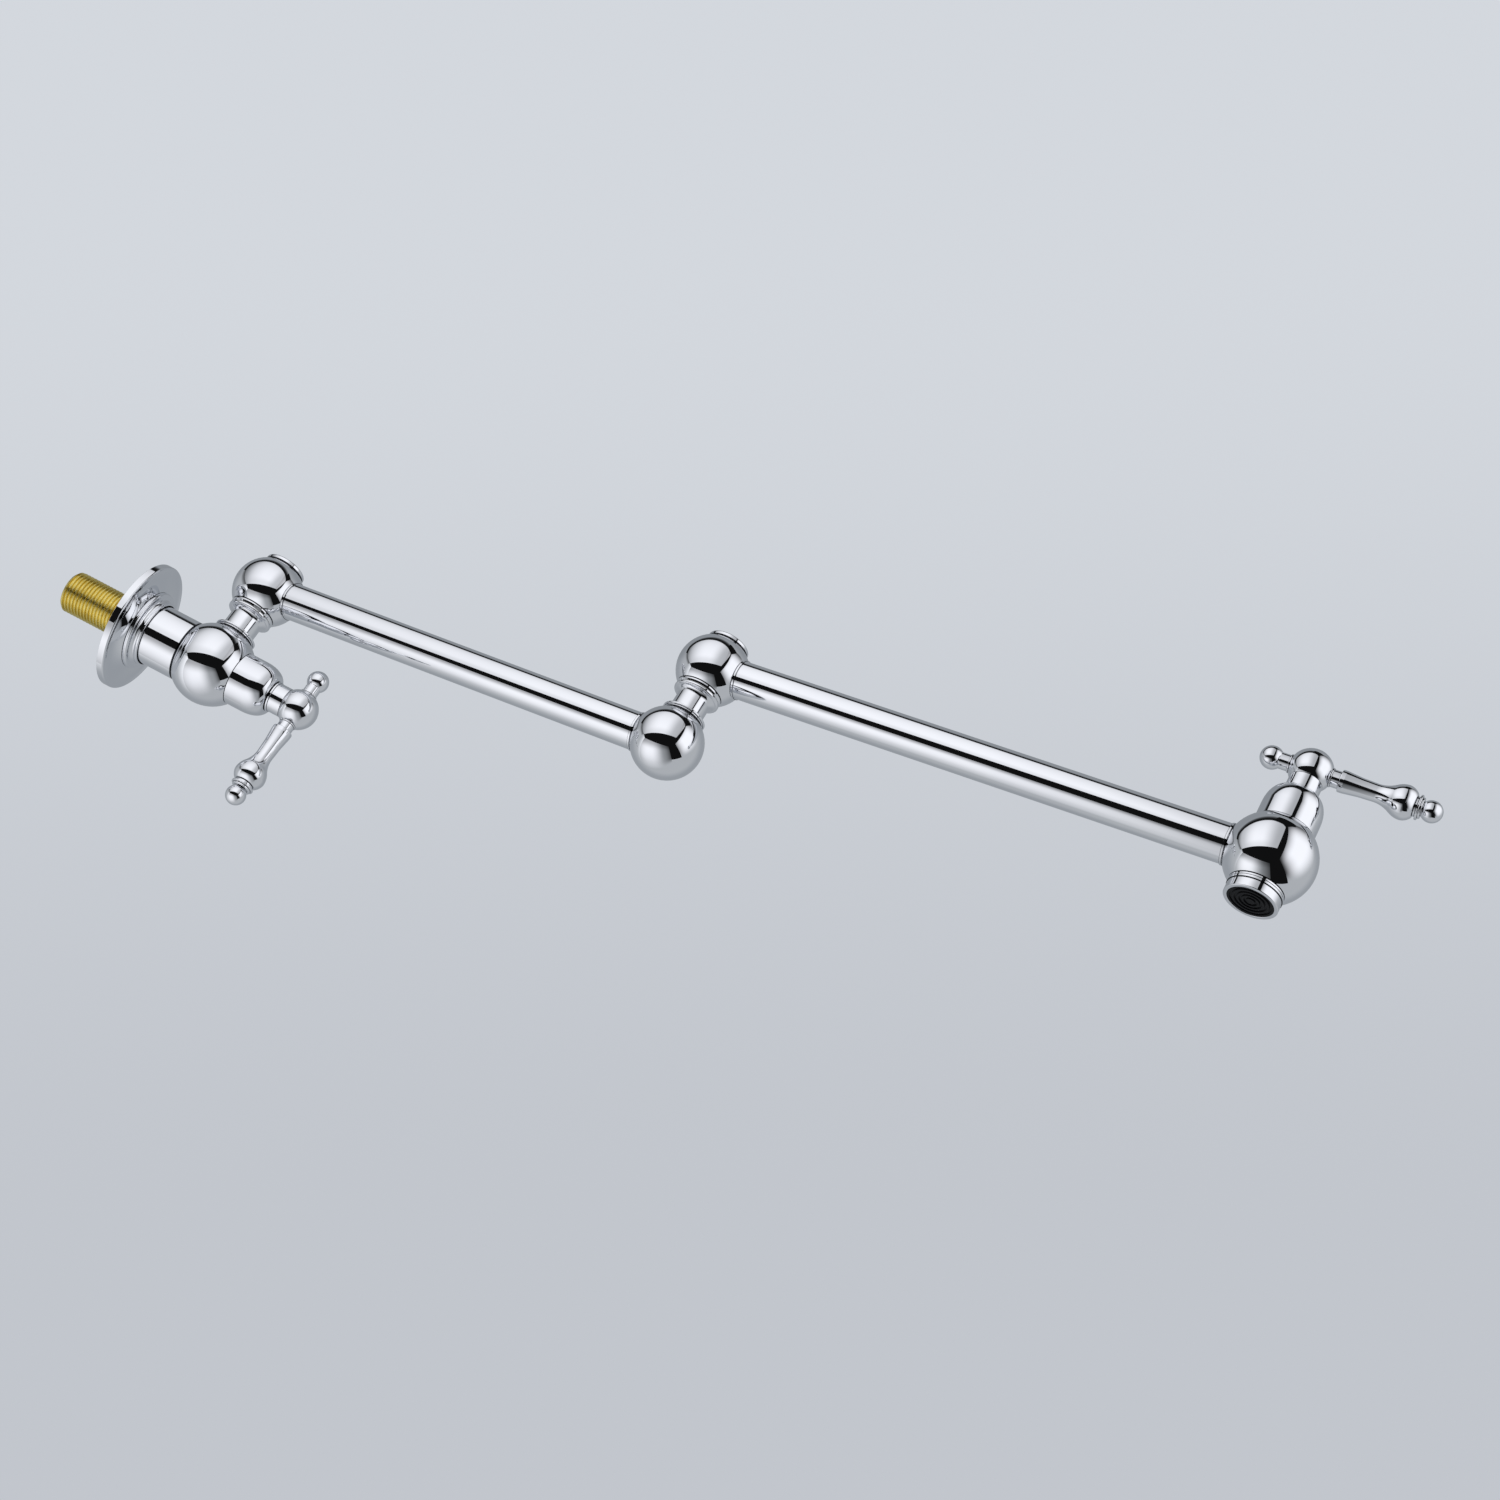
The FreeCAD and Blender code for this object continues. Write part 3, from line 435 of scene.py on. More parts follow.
def polished(name, light, dark, smooth, hazy):
    """Polished metal: faint clouds in colour and gloss, the slightest ripple of the plating, and
    painted shade, near black, on faces that lie in a seam.
    """
    made, nodes, shader = material(name)
    where = object_coordinates(nodes)
    clouds = nodes.noise(22.0, 3.0, 0.55, where)
    wipes = nodes.noise(160.0, 4.0, 0.6, where)
    # painted shade: faces marked as lying in a seam take the near black seam colour
    seam_shade = nodes.add("ShaderNodeAttribute", attribute_name="seam_shade").outputs["Fac"]
    colour = nodes.mix(nodes.span(clouds, 0.35, 0.65), dark, light)
    shader.inputs["Metallic"].default_value = 1.0
    nodes.surface(shader, nodes.mix(seam_shade, colour, PAINTED_SEAM_SHADE),
                  nodes.span(wipes, 0.42, 0.72, smooth, hazy),
                  nodes.noise(55.0, 1.0, 0.4, where), 0.004, 0.001)
    return made


def machined(name, light, dark, axis, pitch, rough_low, rough_high, depth=0.25):
    """Turned metal left bare: fine tool lines round the axis and a blotchy tarnish."""
    made, nodes, shader = material(name)
    where = object_coordinates(nodes)
    along = nodes.dot(where, tuple(axis))
    blotch = nodes.noise(90.0, 4.0, 0.6, where)
    grain = nodes.noise(700.0, 2.0, 0.5, where)
    line = nodes.math("SINE", nodes.product(along, 2 * math.pi / pitch))
    shader.inputs["Metallic"].default_value = 1.0
    nodes.surface(shader, nodes.mix(nodes.span(blotch, 0.35, 0.68), light, dark),
                  nodes.span(grain, 0.3, 0.7, rough_low, rough_high),
                  nodes.math("ADD", line, nodes.product(grain, 1.5)), depth, 0.00004)
    return made


def moulded(name, light, dark, rough_low, rough_high, depth=0.2, gloss=0.5):
    """Moulded or pressed material that is not metal: a fine grain and slight mottling."""
    made, nodes, shader = material(name)
    where = object_coordinates(nodes)
    mottle = nodes.noise(120.0, 3.0, 0.5, where)
    shader.inputs["Specular IOR Level"].default_value = gloss
    nodes.surface(shader, nodes.mix(nodes.span(mottle, 0.3, 0.7), light, dark),
                  nodes.span(mottle, 0.3, 0.7, rough_low, rough_high),
                  nodes.noise(900.0, 2.0, 0.5, where), depth, 0.00005)
    return made


MATERIALS = {
    "chrome": polished("chrome", (0.885, 0.895, 0.92, 1), (0.86, 0.87, 0.90, 1), 0.010, 0.022),
    "brass": machined("brass", (0.85, 0.70, 0.23, 1), (0.72, 0.56, 0.14, 1), OUT, 0.0004,
                      0.22, 0.32, depth=0.08),
    "steel": machined("steel", (0.60, 0.61, 0.63, 1), (0.50, 0.51, 0.53, 1), UP, 0.0005,
                      0.25, 0.4),
    "rubber": moulded("rubber", (0.035, 0.035, 0.036, 1), (0.02, 0.02, 0.021, 1), 0.55, 0.75),
    "ceramic": moulded("ceramic", (0.86, 0.86, 0.83, 1), (0.80, 0.80, 0.77, 1), 0.12, 0.22,
                       depth=0.05),
    "slip_plastic": moulded("slip_plastic", (0.80, 0.79, 0.74, 1), (0.72, 0.71, 0.66, 1),
                            0.4, 0.55),
    "insert_plastic": moulded("insert_plastic", (0.004, 0.004, 0.005, 1),
                              (0.002, 0.002, 0.003, 1), 0.22, 0.30, gloss=0.12),
}


def body_of(node):
    """Name of the CAD body that a node belongs to."""
    groups = frame["record"]["behaviour"]["bodies"]
    return next(body for body, members in groups.items() if node in members)


def slot_of(node):
    """Name of a CAD node's material slot."""
    parts = frame["record"]["subparts"]
    return next(part["material_slot"] for part in parts if part["node"] == node)


def stand_for(piece, node):
    """The piece takes a CAD node's place, body and material."""
    slot = slot_of(node)
    piece.data.materials.append(MATERIALS[slot])
    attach(piece, body_of(node))
    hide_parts(node)


def turned_piece(name, node, place, outline, segments=SEGMENTS):
    stand_for(turn(name, outline, place, segments), node)


# --- Inlet and wall plate ---
NECK_RADIUS = 15.2
NECK_SEAT_RADIUS = NECK_RADIUS - 0.4
NECK_SEAT = WALL_TO_VALVE - seat(LARGE_BALL, NECK_SEAT_RADIUS)
SOCKET_RADIUS = 11.0
SOCKET_DEPTH = 4.2
BORE_RADIUS = 7.0
RELIEF_START = 1.0
RELIEF_END = 3.0
NIPPLE_END = 24.0
NIPPLE_BEVEL = 1.4
BORE_BEVEL = 0.8
PLATE_HOLE = NECK_RADIUS + FREE_CLEARANCE
PLATE_RADIUS = 32.5
PLATE_WALL = 1.2
PLATE_RIM = 3.6
PLATE_RIM_ROUND = 0.8
PLATE_GUTTER = 0.6  # depth of the shallow gutter inside the rim
PLATE_RISE = 5.4
COLLAR_FOOT_RADIUS = 20.2
COLLAR_FOOT_TOP = 7.6
COLLAR_FOOT_ROUND = 1.0
COLLAR_COVE_RADIUS = 18.7
COLLAR_RING = 9.5
COLLAR_RING_STEP = 0.3
COLLAR_TOP = 11.0
COLLAR_TOP_RADIUS = 16.7
COLLAR_TOP_ROUND = 0.5


def thread_height(phase):
    """Height of the thread over its root, from 0 to 1, at a phase of its pitch."""
    flank = 0.30
    crest = 0.16
    distance = abs((phase % 1.0) - 0.5)
    if distance < crest / 2:
        return 1.0
    if distance < crest / 2 + flank:
        along = (distance - crest / 2) / flank
        return 0.5 + 0.5 * math.cos(math.pi * along)
    return 0.0


def inlet_nipple():
    """Brass nipple with its screw thread cut as one helix, bevelled at the end."""
    around = 120
    rows_per_pitch = 14
    run_out_rate = 3  # the thread fades to its root in a third of a pitch
    crease = math.radians(50)
    start, end = -THREAD_REACH, RELIEF_START
    root = THREAD_RADIUS - THREAD_DEPTH
    rows = round((end - start) / THREAD_PITCH * rows_per_pitch)
    points, faces = [], []

    def add_row(station, radius_at):
        for step in range(around):
            angle = 2 * math.pi * step / around
            radius = radius_at(step / around)
            points.append(INLET_PLACE.point(radius * math.cos(angle), radius * math.sin(angle),
                                            station))

    for row in range(rows + 1):
        station = start + (end - start) * row / rows
        bevelled = THREAD_RADIUS - (1 - min(1.0, (station - start) / NIPPLE_BEVEL)) * NIPPLE_BEVEL
        depth = THREAD_DEPTH * min(1.0, run_out_rate * max(0.0, (end - station) / THREAD_PITCH))
        add_row(station, lambda turned: min(
            bevelled, root + depth * thread_height(station / THREAD_PITCH - turned)))
    inside = [
        (RELIEF_START, root), (RELIEF_END, root),
        (RELIEF_END, THREAD_RADIUS), (NIPPLE_END, THREAD_RADIUS), (NIPPLE_END, BORE_RADIUS),
        (start + BORE_BEVEL, BORE_RADIUS), (start, BORE_RADIUS + BORE_BEVEL),
    ]
    for station, radius in inside:
        add_row(station, lambda turned: radius)
    total = rows + 1 + len(inside)
    for row in range(total):
        following = (row + 1) % total
        for step in range(around):
            beside = (step + 1) % around
            faces.append([row * around + step, row * around + beside,
                          following * around + beside, following * around + step])
    nipple = mesh_object("threaded_nipple", points, faces)
    nipple.data.set_sharp_from_angle(angle=crease)
    stand_for(nipple, "inlet_nipple")


def wall_plate():
    """Pressed plate: rolled rim, a gutter inside it and a hollow face that rises to the middle."""
    lip = PLATE_RADIUS - PLATE_RIM_ROUND - 0.5
    foot = COLLAR_FOOT_RADIUS
    gutter = (PLATE_RIM - PLATE_GUTTER, lip - 3.0)
    gutter_side = (PLATE_RIM - 0.7 * PLATE_GUTTER, lip - 1.5)
    middle = (gutter[0] + 0.28 * (PLATE_RISE - gutter[0]), (gutter[1] + foot) / 2)
    rim_edge = (PLATE_RIM - PLATE_RIM_ROUND, PLATE_RADIUS)
    turned_piece("wall_plate_face", "wall_plate", INLET_PLACE, [
        (0, PLATE_RADIUS - PLATE_WALL),
        (0, PLATE_RADIUS, FINE_EDGE),
        rim_edge,
        quarter_round(rim_edge, (PLATE_RIM, PLATE_RADIUS - PLATE_RIM_ROUND), True),
        (PLATE_RIM, lip),
        (gutter_side, gutter),
        (middle, (PLATE_RISE, foot)),
        (PLATE_RISE, PLATE_HOLE),
        (PLATE_RISE - PLATE_WALL, PLATE_HOLE),
        (PLATE_RISE - PLATE_WALL, foot),
        ((middle[0] - PLATE_WALL, middle[1]), (gutter[0] - PLATE_WALL, gutter[1])),
        (gutter[0] - PLATE_WALL, PLATE_RADIUS - PLATE_WALL),
    ], BROAD_SEGMENTS)


def plate_collar():
    """Collar on the plate: foot ring, hollow and top ring, with seams at the plate and the neck."""
    foot_edge = (COLLAR_FOOT_TOP - COLLAR_FOOT_ROUND, COLLAR_FOOT_RADIUS)
    foot_top = (COLLAR_FOOT_TOP, COLLAR_FOOT_RADIUS - COLLAR_FOOT_ROUND)
    cove_start = (COLLAR_FOOT_TOP, COLLAR_COVE_RADIUS)
    cove_end = (COLLAR_RING, COLLAR_TOP_RADIUS - COLLAR_RING_STEP)
    top_edge = (COLLAR_TOP - COLLAR_TOP_ROUND, COLLAR_TOP_RADIUS)
    turned_piece("stepped_collar", "plate_collar", INLET_PLACE, [
        (PLATE_RISE, PLATE_HOLE),
        (PLATE_RISE, COLLAR_FOOT_RADIUS, -0.35),
        foot_edge,
        quarter_round(foot_edge, foot_top, True),
        cove_start,
        quarter_round(cove_start, cove_end, False),
        (COLLAR_RING, COLLAR_TOP_RADIUS, -0.2),
        top_edge,
        quarter_round(top_edge, (COLLAR_TOP, COLLAR_TOP_RADIUS - COLLAR_TOP_ROUND), True),
        (COLLAR_TOP, PLATE_HOLE, -0.3),
    ])


def inlet_neck():
    """Plain tube that stands on the valve ball."""
    turned_piece("neck_tube", "inlet_neck", INLET_PLACE, [
        (RELIEF_END, THREAD_RADIUS),
        (RELIEF_END, NECK_RADIUS, EDGE),
        (NECK_SEAT, NECK_RADIUS, -0.4),
        (NECK_SEAT, SOCKET_RADIUS), (NECK_SEAT + SOCKET_DEPTH, SOCKET_RADIUS),
        (NECK_SEAT + SOCKET_DEPTH, BORE_RADIUS),
        (NIPPLE_END, BORE_RADIUS), (NIPPLE_END, THREAD_RADIUS),
    ])


# --- Valves and handles ---
BONNET_SEAT_RADIUS = 13.5
BONNET_RADIUS = 13.3
BONNET_SEAT = seat(LARGE_BALL, BONNET_SEAT_RADIUS)
BONNET_STRAIGHT_END = 24.0
BONNET_TOP = 34.0
BONNET_TOP_RADIUS = 8.2
SKIRT_RADIUS = 11.5
CHAMBER_RADIUS = 14.0
CHAMBER_START = 0.5
CHAMBER_END = 10.5
CARTRIDGE_RADIUS = 9.6
CARTRIDGE_FOOT = -5.0
FLANGE_END = 13.5
STEM_RADIUS = 3.0
STEM_HOLE = 3.4
BONNET_INSIDE = 8.3
BONNET_INSIDE_END = 22.3
BONNET_WALL = 3.0
HUB_RADIUS = 9.8
COLLAR_RADIUS = 7.4
COLLAR_BASE_RADIUS = 7.9
COLLAR_BASE_HEIGHT = 0.9
STUD_RADIUS = 2.5
STUD_START = STEM_RADIUS + FREE_CLEARANCE
SEAT_PORT_RADIUS = 6.0


def ball_side(radius, low, high, centre=0.0):
    """A ball's outline from the station `low` to `high` from its centre, as two arc items."""
    def at(angle):
        return (centre - radius * math.cos(angle), radius * math.sin(angle))

    arcs = []
    for start, end in ((low, 0), (0, high)):
        first, last = math.acos(-start / radius), math.acos(-end / radius)
        arcs.append((at((first + last) / 2), at(last)))
    return arcs


def large_ball(name, node, place, socket_seat_radius):
    """Large ball with its valve chamber and the socket below it."""
    low = -seat(LARGE_BALL, socket_seat_radius)
    turned_piece(name, node, place, [
        (low, SOCKET_RADIUS),
        (low, socket_seat_radius),
        *ball_side(LARGE_BALL, low, BONNET_SEAT),
        (BONNET_SEAT, SKIRT_RADIUS),
        (CHAMBER_END, SKIRT_RADIUS), (CHAMBER_END, CHAMBER_RADIUS),
        (CHAMBER_START, CHAMBER_RADIUS), (CHAMBER_START, CARTRIDGE_RADIUS),
        (CARTRIDGE_FOOT, CARTRIDGE_RADIUS), (CARTRIDGE_FOOT, SEAT_PORT_RADIUS),
        (low + SOCKET_DEPTH, SEAT_PORT_RADIUS), (low + SOCKET_DEPTH, SOCKET_RADIUS),
    ], BROAD_SEGMENTS)


def bonnet(number, place):
    """Cover of the cartridge: a short cylinder with a domed end, drawn as four arcs."""
    rise = BONNET_TOP - BONNET_STRAIGHT_END
    drop = BONNET_RADIUS - BONNET_TOP_RADIUS

    def dome(degrees):
        angle = math.radians(degrees)
        return (BONNET_STRAIGHT_END + rise * math.sin(angle),
                BONNET_TOP_RADIUS + drop * math.cos(angle))

    roof = BONNET_TOP - BONNET_WALL
    turned_piece(f"domed_bonnet_{number}", f"bonnet_{number}", place, [
        (FLANGE_END, BONNET_INSIDE),
        (FLANGE_END, SKIRT_RADIUS),
        (BONNET_SEAT, SKIRT_RADIUS),
        (BONNET_SEAT, BONNET_RADIUS, -0.3),
        (BONNET_STRAIGHT_END, BONNET_RADIUS),
        *[(dome(degrees - 11.25), dome(degrees)) for degrees in (22.5, 45, 67.5, 90)],
        (BONNET_TOP, STEM_HOLE),
        (roof, STEM_HOLE),
        (BONNET_INSIDE_END, BONNET_INSIDE),
    ])


def handle_collar(number, place):
    """Collar on the stem, between the bonnet and the hub ball."""
    start = BONNET_TOP + FREE_CLEARANCE
    end = HUB_STATION - seat(HUB_RADIUS, COLLAR_RADIUS)
    turned_piece(f"turned_collar_{number}", f"handle_collar_{number}", place, [
        (start, STEM_RADIUS),
        (start, COLLAR_BASE_RADIUS, -0.2),
        (start + COLLAR_BASE_HEIGHT, COLLAR_BASE_RADIUS, 0.3),
        (start + COLLAR_BASE_HEIGHT, COLLAR_RADIUS, -0.15),
        (end, COLLAR_RADIUS, -0.2),
        (end, STEM_RADIUS),
    ])


def handle_hub(number, place):
    """Ball on the stem; the lever and the finial seat on its sides."""
    hub = place.moved(HUB_STATION)
    low = -seat(HUB_RADIUS, COLLAR_RADIUS)
    turned_piece(f"hub_ball_{number}", f"handle_hub_{number}", hub, [
        (low, 0),
        (low, COLLAR_RADIUS),
        *ball_side(HUB_RADIUS, low, HUB_RADIUS),
    ])


LEVER_ROOT_RADIUS = 4.3
LEVER_NECK_RADIUS = 3.9
LEVER_NECK_END = 13.0
LEVER_SHOULDER_RADIUS = 5.0
LEVER_SHOULDER_END = 15.0
LEVER_WAIST = (29.0, 4.05)
LEVER_BULB = (41.2, 7.8)
LEVER_FLARE_TURN = 0.58  # share of the way to the bulb where hollow turns to full
LEVER_FOOT = (45.6, 5.4)
LEVER_TIP_RADIUS = 4.9
LEVER_TIP_STATION = 52.8
LEVER_TIP_NECK = 3.4


def lever(number, place):
    """Turned lever: neck, waisted shank, bulb, groove, two rings and an end ball."""
    along = Place(place.point(0, 0, HUB_STATION), place.x, place.y)
    root = seat(HUB_RADIUS, LEVER_ROOT_RADIUS)
    root_end = root + 0.7
    shoulder = (LEVER_SHOULDER_END, LEVER_SHOULDER_RADIUS)
    turning = tuple(a + LEVER_FLARE_TURN * (b - a) for a, b in zip(LEVER_WAIST, LEVER_BULB))
    groove, ring_1, ring_2, ring_height = 4.5, 5.6, 4.7, 1.0
    groove_end = LEVER_FOOT[0] + 1.3
    ring_1_end = groove_end + ring_height
    ring_2_end = ring_1_end + ring_height
    tip_low = -seat(LEVER_TIP_RADIUS, LEVER_TIP_NECK)
    turned_piece(f"turned_lever_{number}", f"lever_{number}", along, [
        (STUD_START, 0), (STUD_START, STUD_RADIUS), (root, STUD_RADIUS),
        (root, LEVER_ROOT_RADIUS, -0.2),
        (root_end, LEVER_ROOT_RADIUS, 0.2),
        (root_end, LEVER_NECK_RADIUS, -0.15),
        (LEVER_NECK_END, LEVER_NECK_RADIUS, -0.2),
        (LEVER_NECK_END, LEVER_SHOULDER_RADIUS, 0.4),
        shoulder,
        flare(shoulder, LEVER_WAIST, False),
        flare(LEVER_WAIST, turning, True),
        flare(turning, LEVER_BULB, False),
        flare(LEVER_BULB, LEVER_FOOT, True),
        (LEVER_FOOT[0], groove, -0.3),
        (groove_end, groove, -0.3),
        (groove_end, ring_1, 0.3),
        (ring_1_end, ring_1, 0.35),
        (ring_1_end, ring_2, -0.15),
        (ring_2_end, ring_2, 0.35),
        (ring_2_end, LEVER_TIP_NECK, -0.15),
        (LEVER_TIP_STATION + tip_low, LEVER_TIP_NECK),
        *ball_side(LEVER_TIP_RADIUS, tip_low, LEVER_TIP_RADIUS, LEVER_TIP_STATION),
    ])


def finial(number, place):
    """Short neck with a small ball, on the side of the hub away from the lever."""
    away = Place(place.point(0, 0, HUB_STATION), -place.x, place.y)
    root_radius, neck = 4.2, 3.7
    ball_radius, centre = 5.3, 17.5
    root = seat(HUB_RADIUS, root_radius)
    root_end = root + 0.8
    low = -seat(ball_radius, neck)
    turned_piece(f"turned_finial_{number}", f"finial_{number}", away, [
        (STUD_START, 0), (STUD_START, STUD_RADIUS), (root, STUD_RADIUS),
        (root, root_radius, -0.2),
        (root_end, root_radius, 0.2),
        (root_end, neck, -0.15),
        (centre + low, neck),
        *ball_side(ball_radius, low, ball_radius, centre),
    ])


# --- Swivels and arms ---
JOURNAL_RADIUS = 7.0
RUNNING_CLEARANCE = 0.05
POST_STUB = 6.5  # how far the post runs into the ball that carries it
POST_SHOULDER = 14.4
POST_HEAD_RADIUS = 11.4
POST_HEAD_ROUND = 0.9
POST_HEAD_START = 12.9
POST_BEAD_RADIUS = 10.1
POST_NECK_RADIUS = 8.2
POST_NECK_END = 10.4
POST_FLARE_RADIUS = 10.0
POST_FOOT_COVE = 1.1
BALL_SKIRT_START = POST_SHOULDER + 0.45
UPPER_BOSS = 7.0  # above the centre of the swivel ball
NUT_RECESS_RADIUS = 9.2
CAP_SEAT_RADIUS = 10.5


def swivel_post(number, place):
    """Turned post: foot with a bead and a flange, flared neck, rounded head, hollow journal."""
    flange_start, flange_end, flange_radius = 1.1, 2.1, 10.8
    bore, bore_end = 4.0, POST_RISE + 3.0
    thread, bevel = 5.0, 0.5
    hollow = (flange_end, POST_NECK_RADIUS + POST_FOOT_COVE)
    neck_end = (POST_NECK_END, POST_NECK_RADIUS)
    head_edge = (POST_HEAD_START, POST_HEAD_RADIUS - POST_HEAD_ROUND)
    top = POST_RISE + UPPER_BOSS + RUNNING_CLEARANCE
    nut_end = top + 4.6
    turned_piece(f"flared_post_{number}", f"swivel_post_{number}", place, [
        (-POST_STUB, bore), (-POST_STUB, JOURNAL_RADIUS),
        (0, JOURNAL_RADIUS),
        (0, POST_SEAT_RADIUS),
        (0.5, POST_SEAT_RADIUS, -0.1, SEAM),
        (0.5, POST_BEAD_RADIUS, 0.15),
        (flange_start, POST_BEAD_RADIUS, -0.15),
        (flange_start, flange_radius, 0.35),
        (flange_end, flange_radius, 0.35),
        hollow,
        quarter_round(hollow, (flange_end + POST_FOOT_COVE, POST_NECK_RADIUS), False),
        neck_end,
        flare(neck_end, (POST_HEAD_START, POST_FLARE_RADIUS), True),
        head_edge,
        quarter_round(head_edge, (POST_HEAD_START + POST_HEAD_ROUND, POST_HEAD_RADIUS), False),
        (POST_SHOULDER, POST_HEAD_RADIUS, -0.2),
        (POST_SHOULDER, JOURNAL_RADIUS),
        (top, JOURNAL_RADIUS),
        (top, thread), (nut_end, thread),
        (nut_end + bevel, thread - bevel), (nut_end + bevel, 0),
        (bore_end, 0), (bore_end, bore),
    ])


def cavity_arc(radius, start, end):
    """Arc item along the hollow of a ball, between two stations."""
    def at(station):
        return (station, math.sqrt(radius ** 2 - station ** 2))

    return (at((start + end) / 2), at(end))


def swivel_ball(number, place):
    """Hollow ball that turns on a post: bevelled skirt, groove, ball and a recess for the nut."""
    skirt, groove = 11.4, 10.9
    low = BALL_SKIRT_START - POST_RISE
    groove_end = -seat(SMALL_BALL, skirt)
    groove_start = groove_end - 0.5
    cap_seat = seat(SMALL_BALL, CAP_SEAT_RADIUS)
    bore = JOURNAL_RADIUS + RUNNING_CLEARANCE
    hollow = SMALL_BALL - 2.8
    low_hollow, high_hollow = -6.5, 4.5
    turned_piece(f"skirted_ball_{number}", f"swivel_ball_{number}", place, [
        (low, bore),
        (low, skirt - 0.5),
        (groove_start - 0.7, skirt, 0.2),
        (groove_start, skirt, -0.15),
        (groove_start, groove, -0.1, SEAM),
        (groove_end, groove, -0.1, SEAM),
        (groove_end, skirt),
        *ball_side(SMALL_BALL, groove_end, cap_seat),
        (cap_seat, NUT_RECESS_RADIUS),
        (UPPER_BOSS, NUT_RECESS_RADIUS),
        (UPPER_BOSS, bore),
        (high_hollow, bore),
        (high_hollow, math.sqrt(hollow ** 2 - high_hollow ** 2)),
        cavity_arc(hollow, high_hollow, low_hollow),
        (low_hollow, bore),
    ], BROAD_SEGMENTS)


def swivel_cap(number, place):
    """Button over the nut, with a plug that fits the recess and a groove at the ball."""
    base = seat(SMALL_BALL, CAP_SEAT_RADIUS)
    top = base + 2.6
    groove, plug, plug_end = 10.1, 8.6, base - 1.4
    turned_piece(f"button_cap_{number}", f"swivel_cap_{number}", place, [
        (base, 0),
        (base, plug),
        (plug_end, plug),
        (plug_end, NUT_RECESS_RADIUS),
        (base, NUT_RECESS_RADIUS),
        (base, groove),
        (base + 0.6, groove, -0.1, SEAM),
        (base + 0.6, CAP_SEAT_RADIUS, -0.15),
        (top, CAP_SEAT_RADIUS, 0.8),
        (top, 0),
    ])


def elbow_ball():
    """Ball at the far end of the first arm, with the socket of the second post."""
    place = Place(ELBOW, UP, ALONG_1)
    top = seat(SMALL_BALL, POST_SEAT_RADIUS)
    turned_piece("elbow_ball_shell", "elbow_ball", place, [
        (-SMALL_BALL, 0),
        *ball_side(SMALL_BALL, -SMALL_BALL, top),
        (top, JOURNAL_RADIUS), (top - POST_STUB, JOURNAL_RADIUS), (top - POST_STUB, 0),
    ], BROAD_SEGMENTS)


def arm(number, length, far_ball):
    """Tube between two balls, with a seam ring at each end."""
    place = TUBE_PLACES[number]
    grip = 3.2
    near = seat(SMALL_BALL, TUBE_RADIUS)
    far = length - seat(far_ball, TUBE_RADIUS)
    inside = TUBE_RADIUS - 1.2
    turned_piece(f"chromed_tube_{number}", f"arm_tube_{number}", place, [
        (near - grip, inside), (near - grip, TUBE_RADIUS),
        (far + grip, TUBE_RADIUS), (far + grip, inside),
    ])
    ring = TUBE_RADIUS + 0.45
    width = 1.2
    for name, start in (("near", near), ("far", far - width)):
        turned_piece(f"{name}_seam_ring_{number}", f"{name}_ring_{number}", place, [
            (start, TUBE_RADIUS), (start, ring, -0.25),
            (start + width, ring, -0.25), (start + width, TUBE_RADIUS),
        ])


# --- Outlet ---
OUTLET_SEAT_RADIUS = 12.4
OUTLET_SEAT = seat(LARGE_BALL, OUTLET_SEAT_RADIUS)
OUTLET_NECK_RADIUS = 12.0
AERATOR_END = OUTLET_SEAT + 1.9 + 5.3
RING_SPLIT = OUTLET_SEAT + 2.9  # where the ring's skirt ends over the aerator
AERATOR_RADIUS = 12.1
AERATOR_LIP = 1.7
INSERT_END = AERATOR_END - 0.2
INSERT_START = INSERT_END - 3.8
AERATOR_THREAD = 10.2
AERATOR_BORE = 9.0


def outlet_pieces():
    """Ring under the outlet ball, with a recess at the ball and a groove, both with painted shade,
    and the sleeve.
    """
    socket_end = OUTLET_SEAT - SOCKET_DEPTH
    groove = OUTLET_SEAT + 1.4
    turned_piece("ringed_spigot", "outlet_ring", OUTLET_PLACE, [
        (socket_end, AERATOR_THREAD),
        (socket_end, SOCKET_RADIUS),
        (OUTLET_SEAT, SOCKET_RADIUS),
        (OUTLET_SEAT, OUTLET_NECK_RADIUS, -0.1),
        (OUTLET_SEAT + 0.5, OUTLET_NECK_RADIUS, -0.1, SEAM),
        (OUTLET_SEAT + 0.5, OUTLET_SEAT_RADIUS, -0.15),
        (groove, OUTLET_SEAT_RADIUS, 0.15),
        (groove, OUTLET_SEAT_RADIUS - 0.2, -0.08, SEAM),
        (groove + 0.2, OUTLET_SEAT_RADIUS - 0.2, -0.08, SEAM),
        (groove + 0.2, OUTLET_SEAT_RADIUS, 0.15),
        (RING_SPLIT, OUTLET_SEAT_RADIUS, -0.3),
        (RING_SPLIT, AERATOR_THREAD),
    ])
    lip = AERATOR_RADIUS - AERATOR_LIP
    thread_top = socket_end + 0.9
    turned_piece("aerator_sleeve", "aerator_housing", OUTLET_PLACE, [
        (thread_top, AERATOR_BORE),
        (thread_top, AERATOR_THREAD),
        (RING_SPLIT, AERATOR_THREAD),
        (RING_SPLIT, AERATOR_RADIUS, -EDGE),
        (AERATOR_END, AERATOR_RADIUS, 0.45),
        (AERATOR_END, lip, 0.2),
        (INSERT_START, lip),
        (INSERT_START, AERATOR_BORE),
    ])


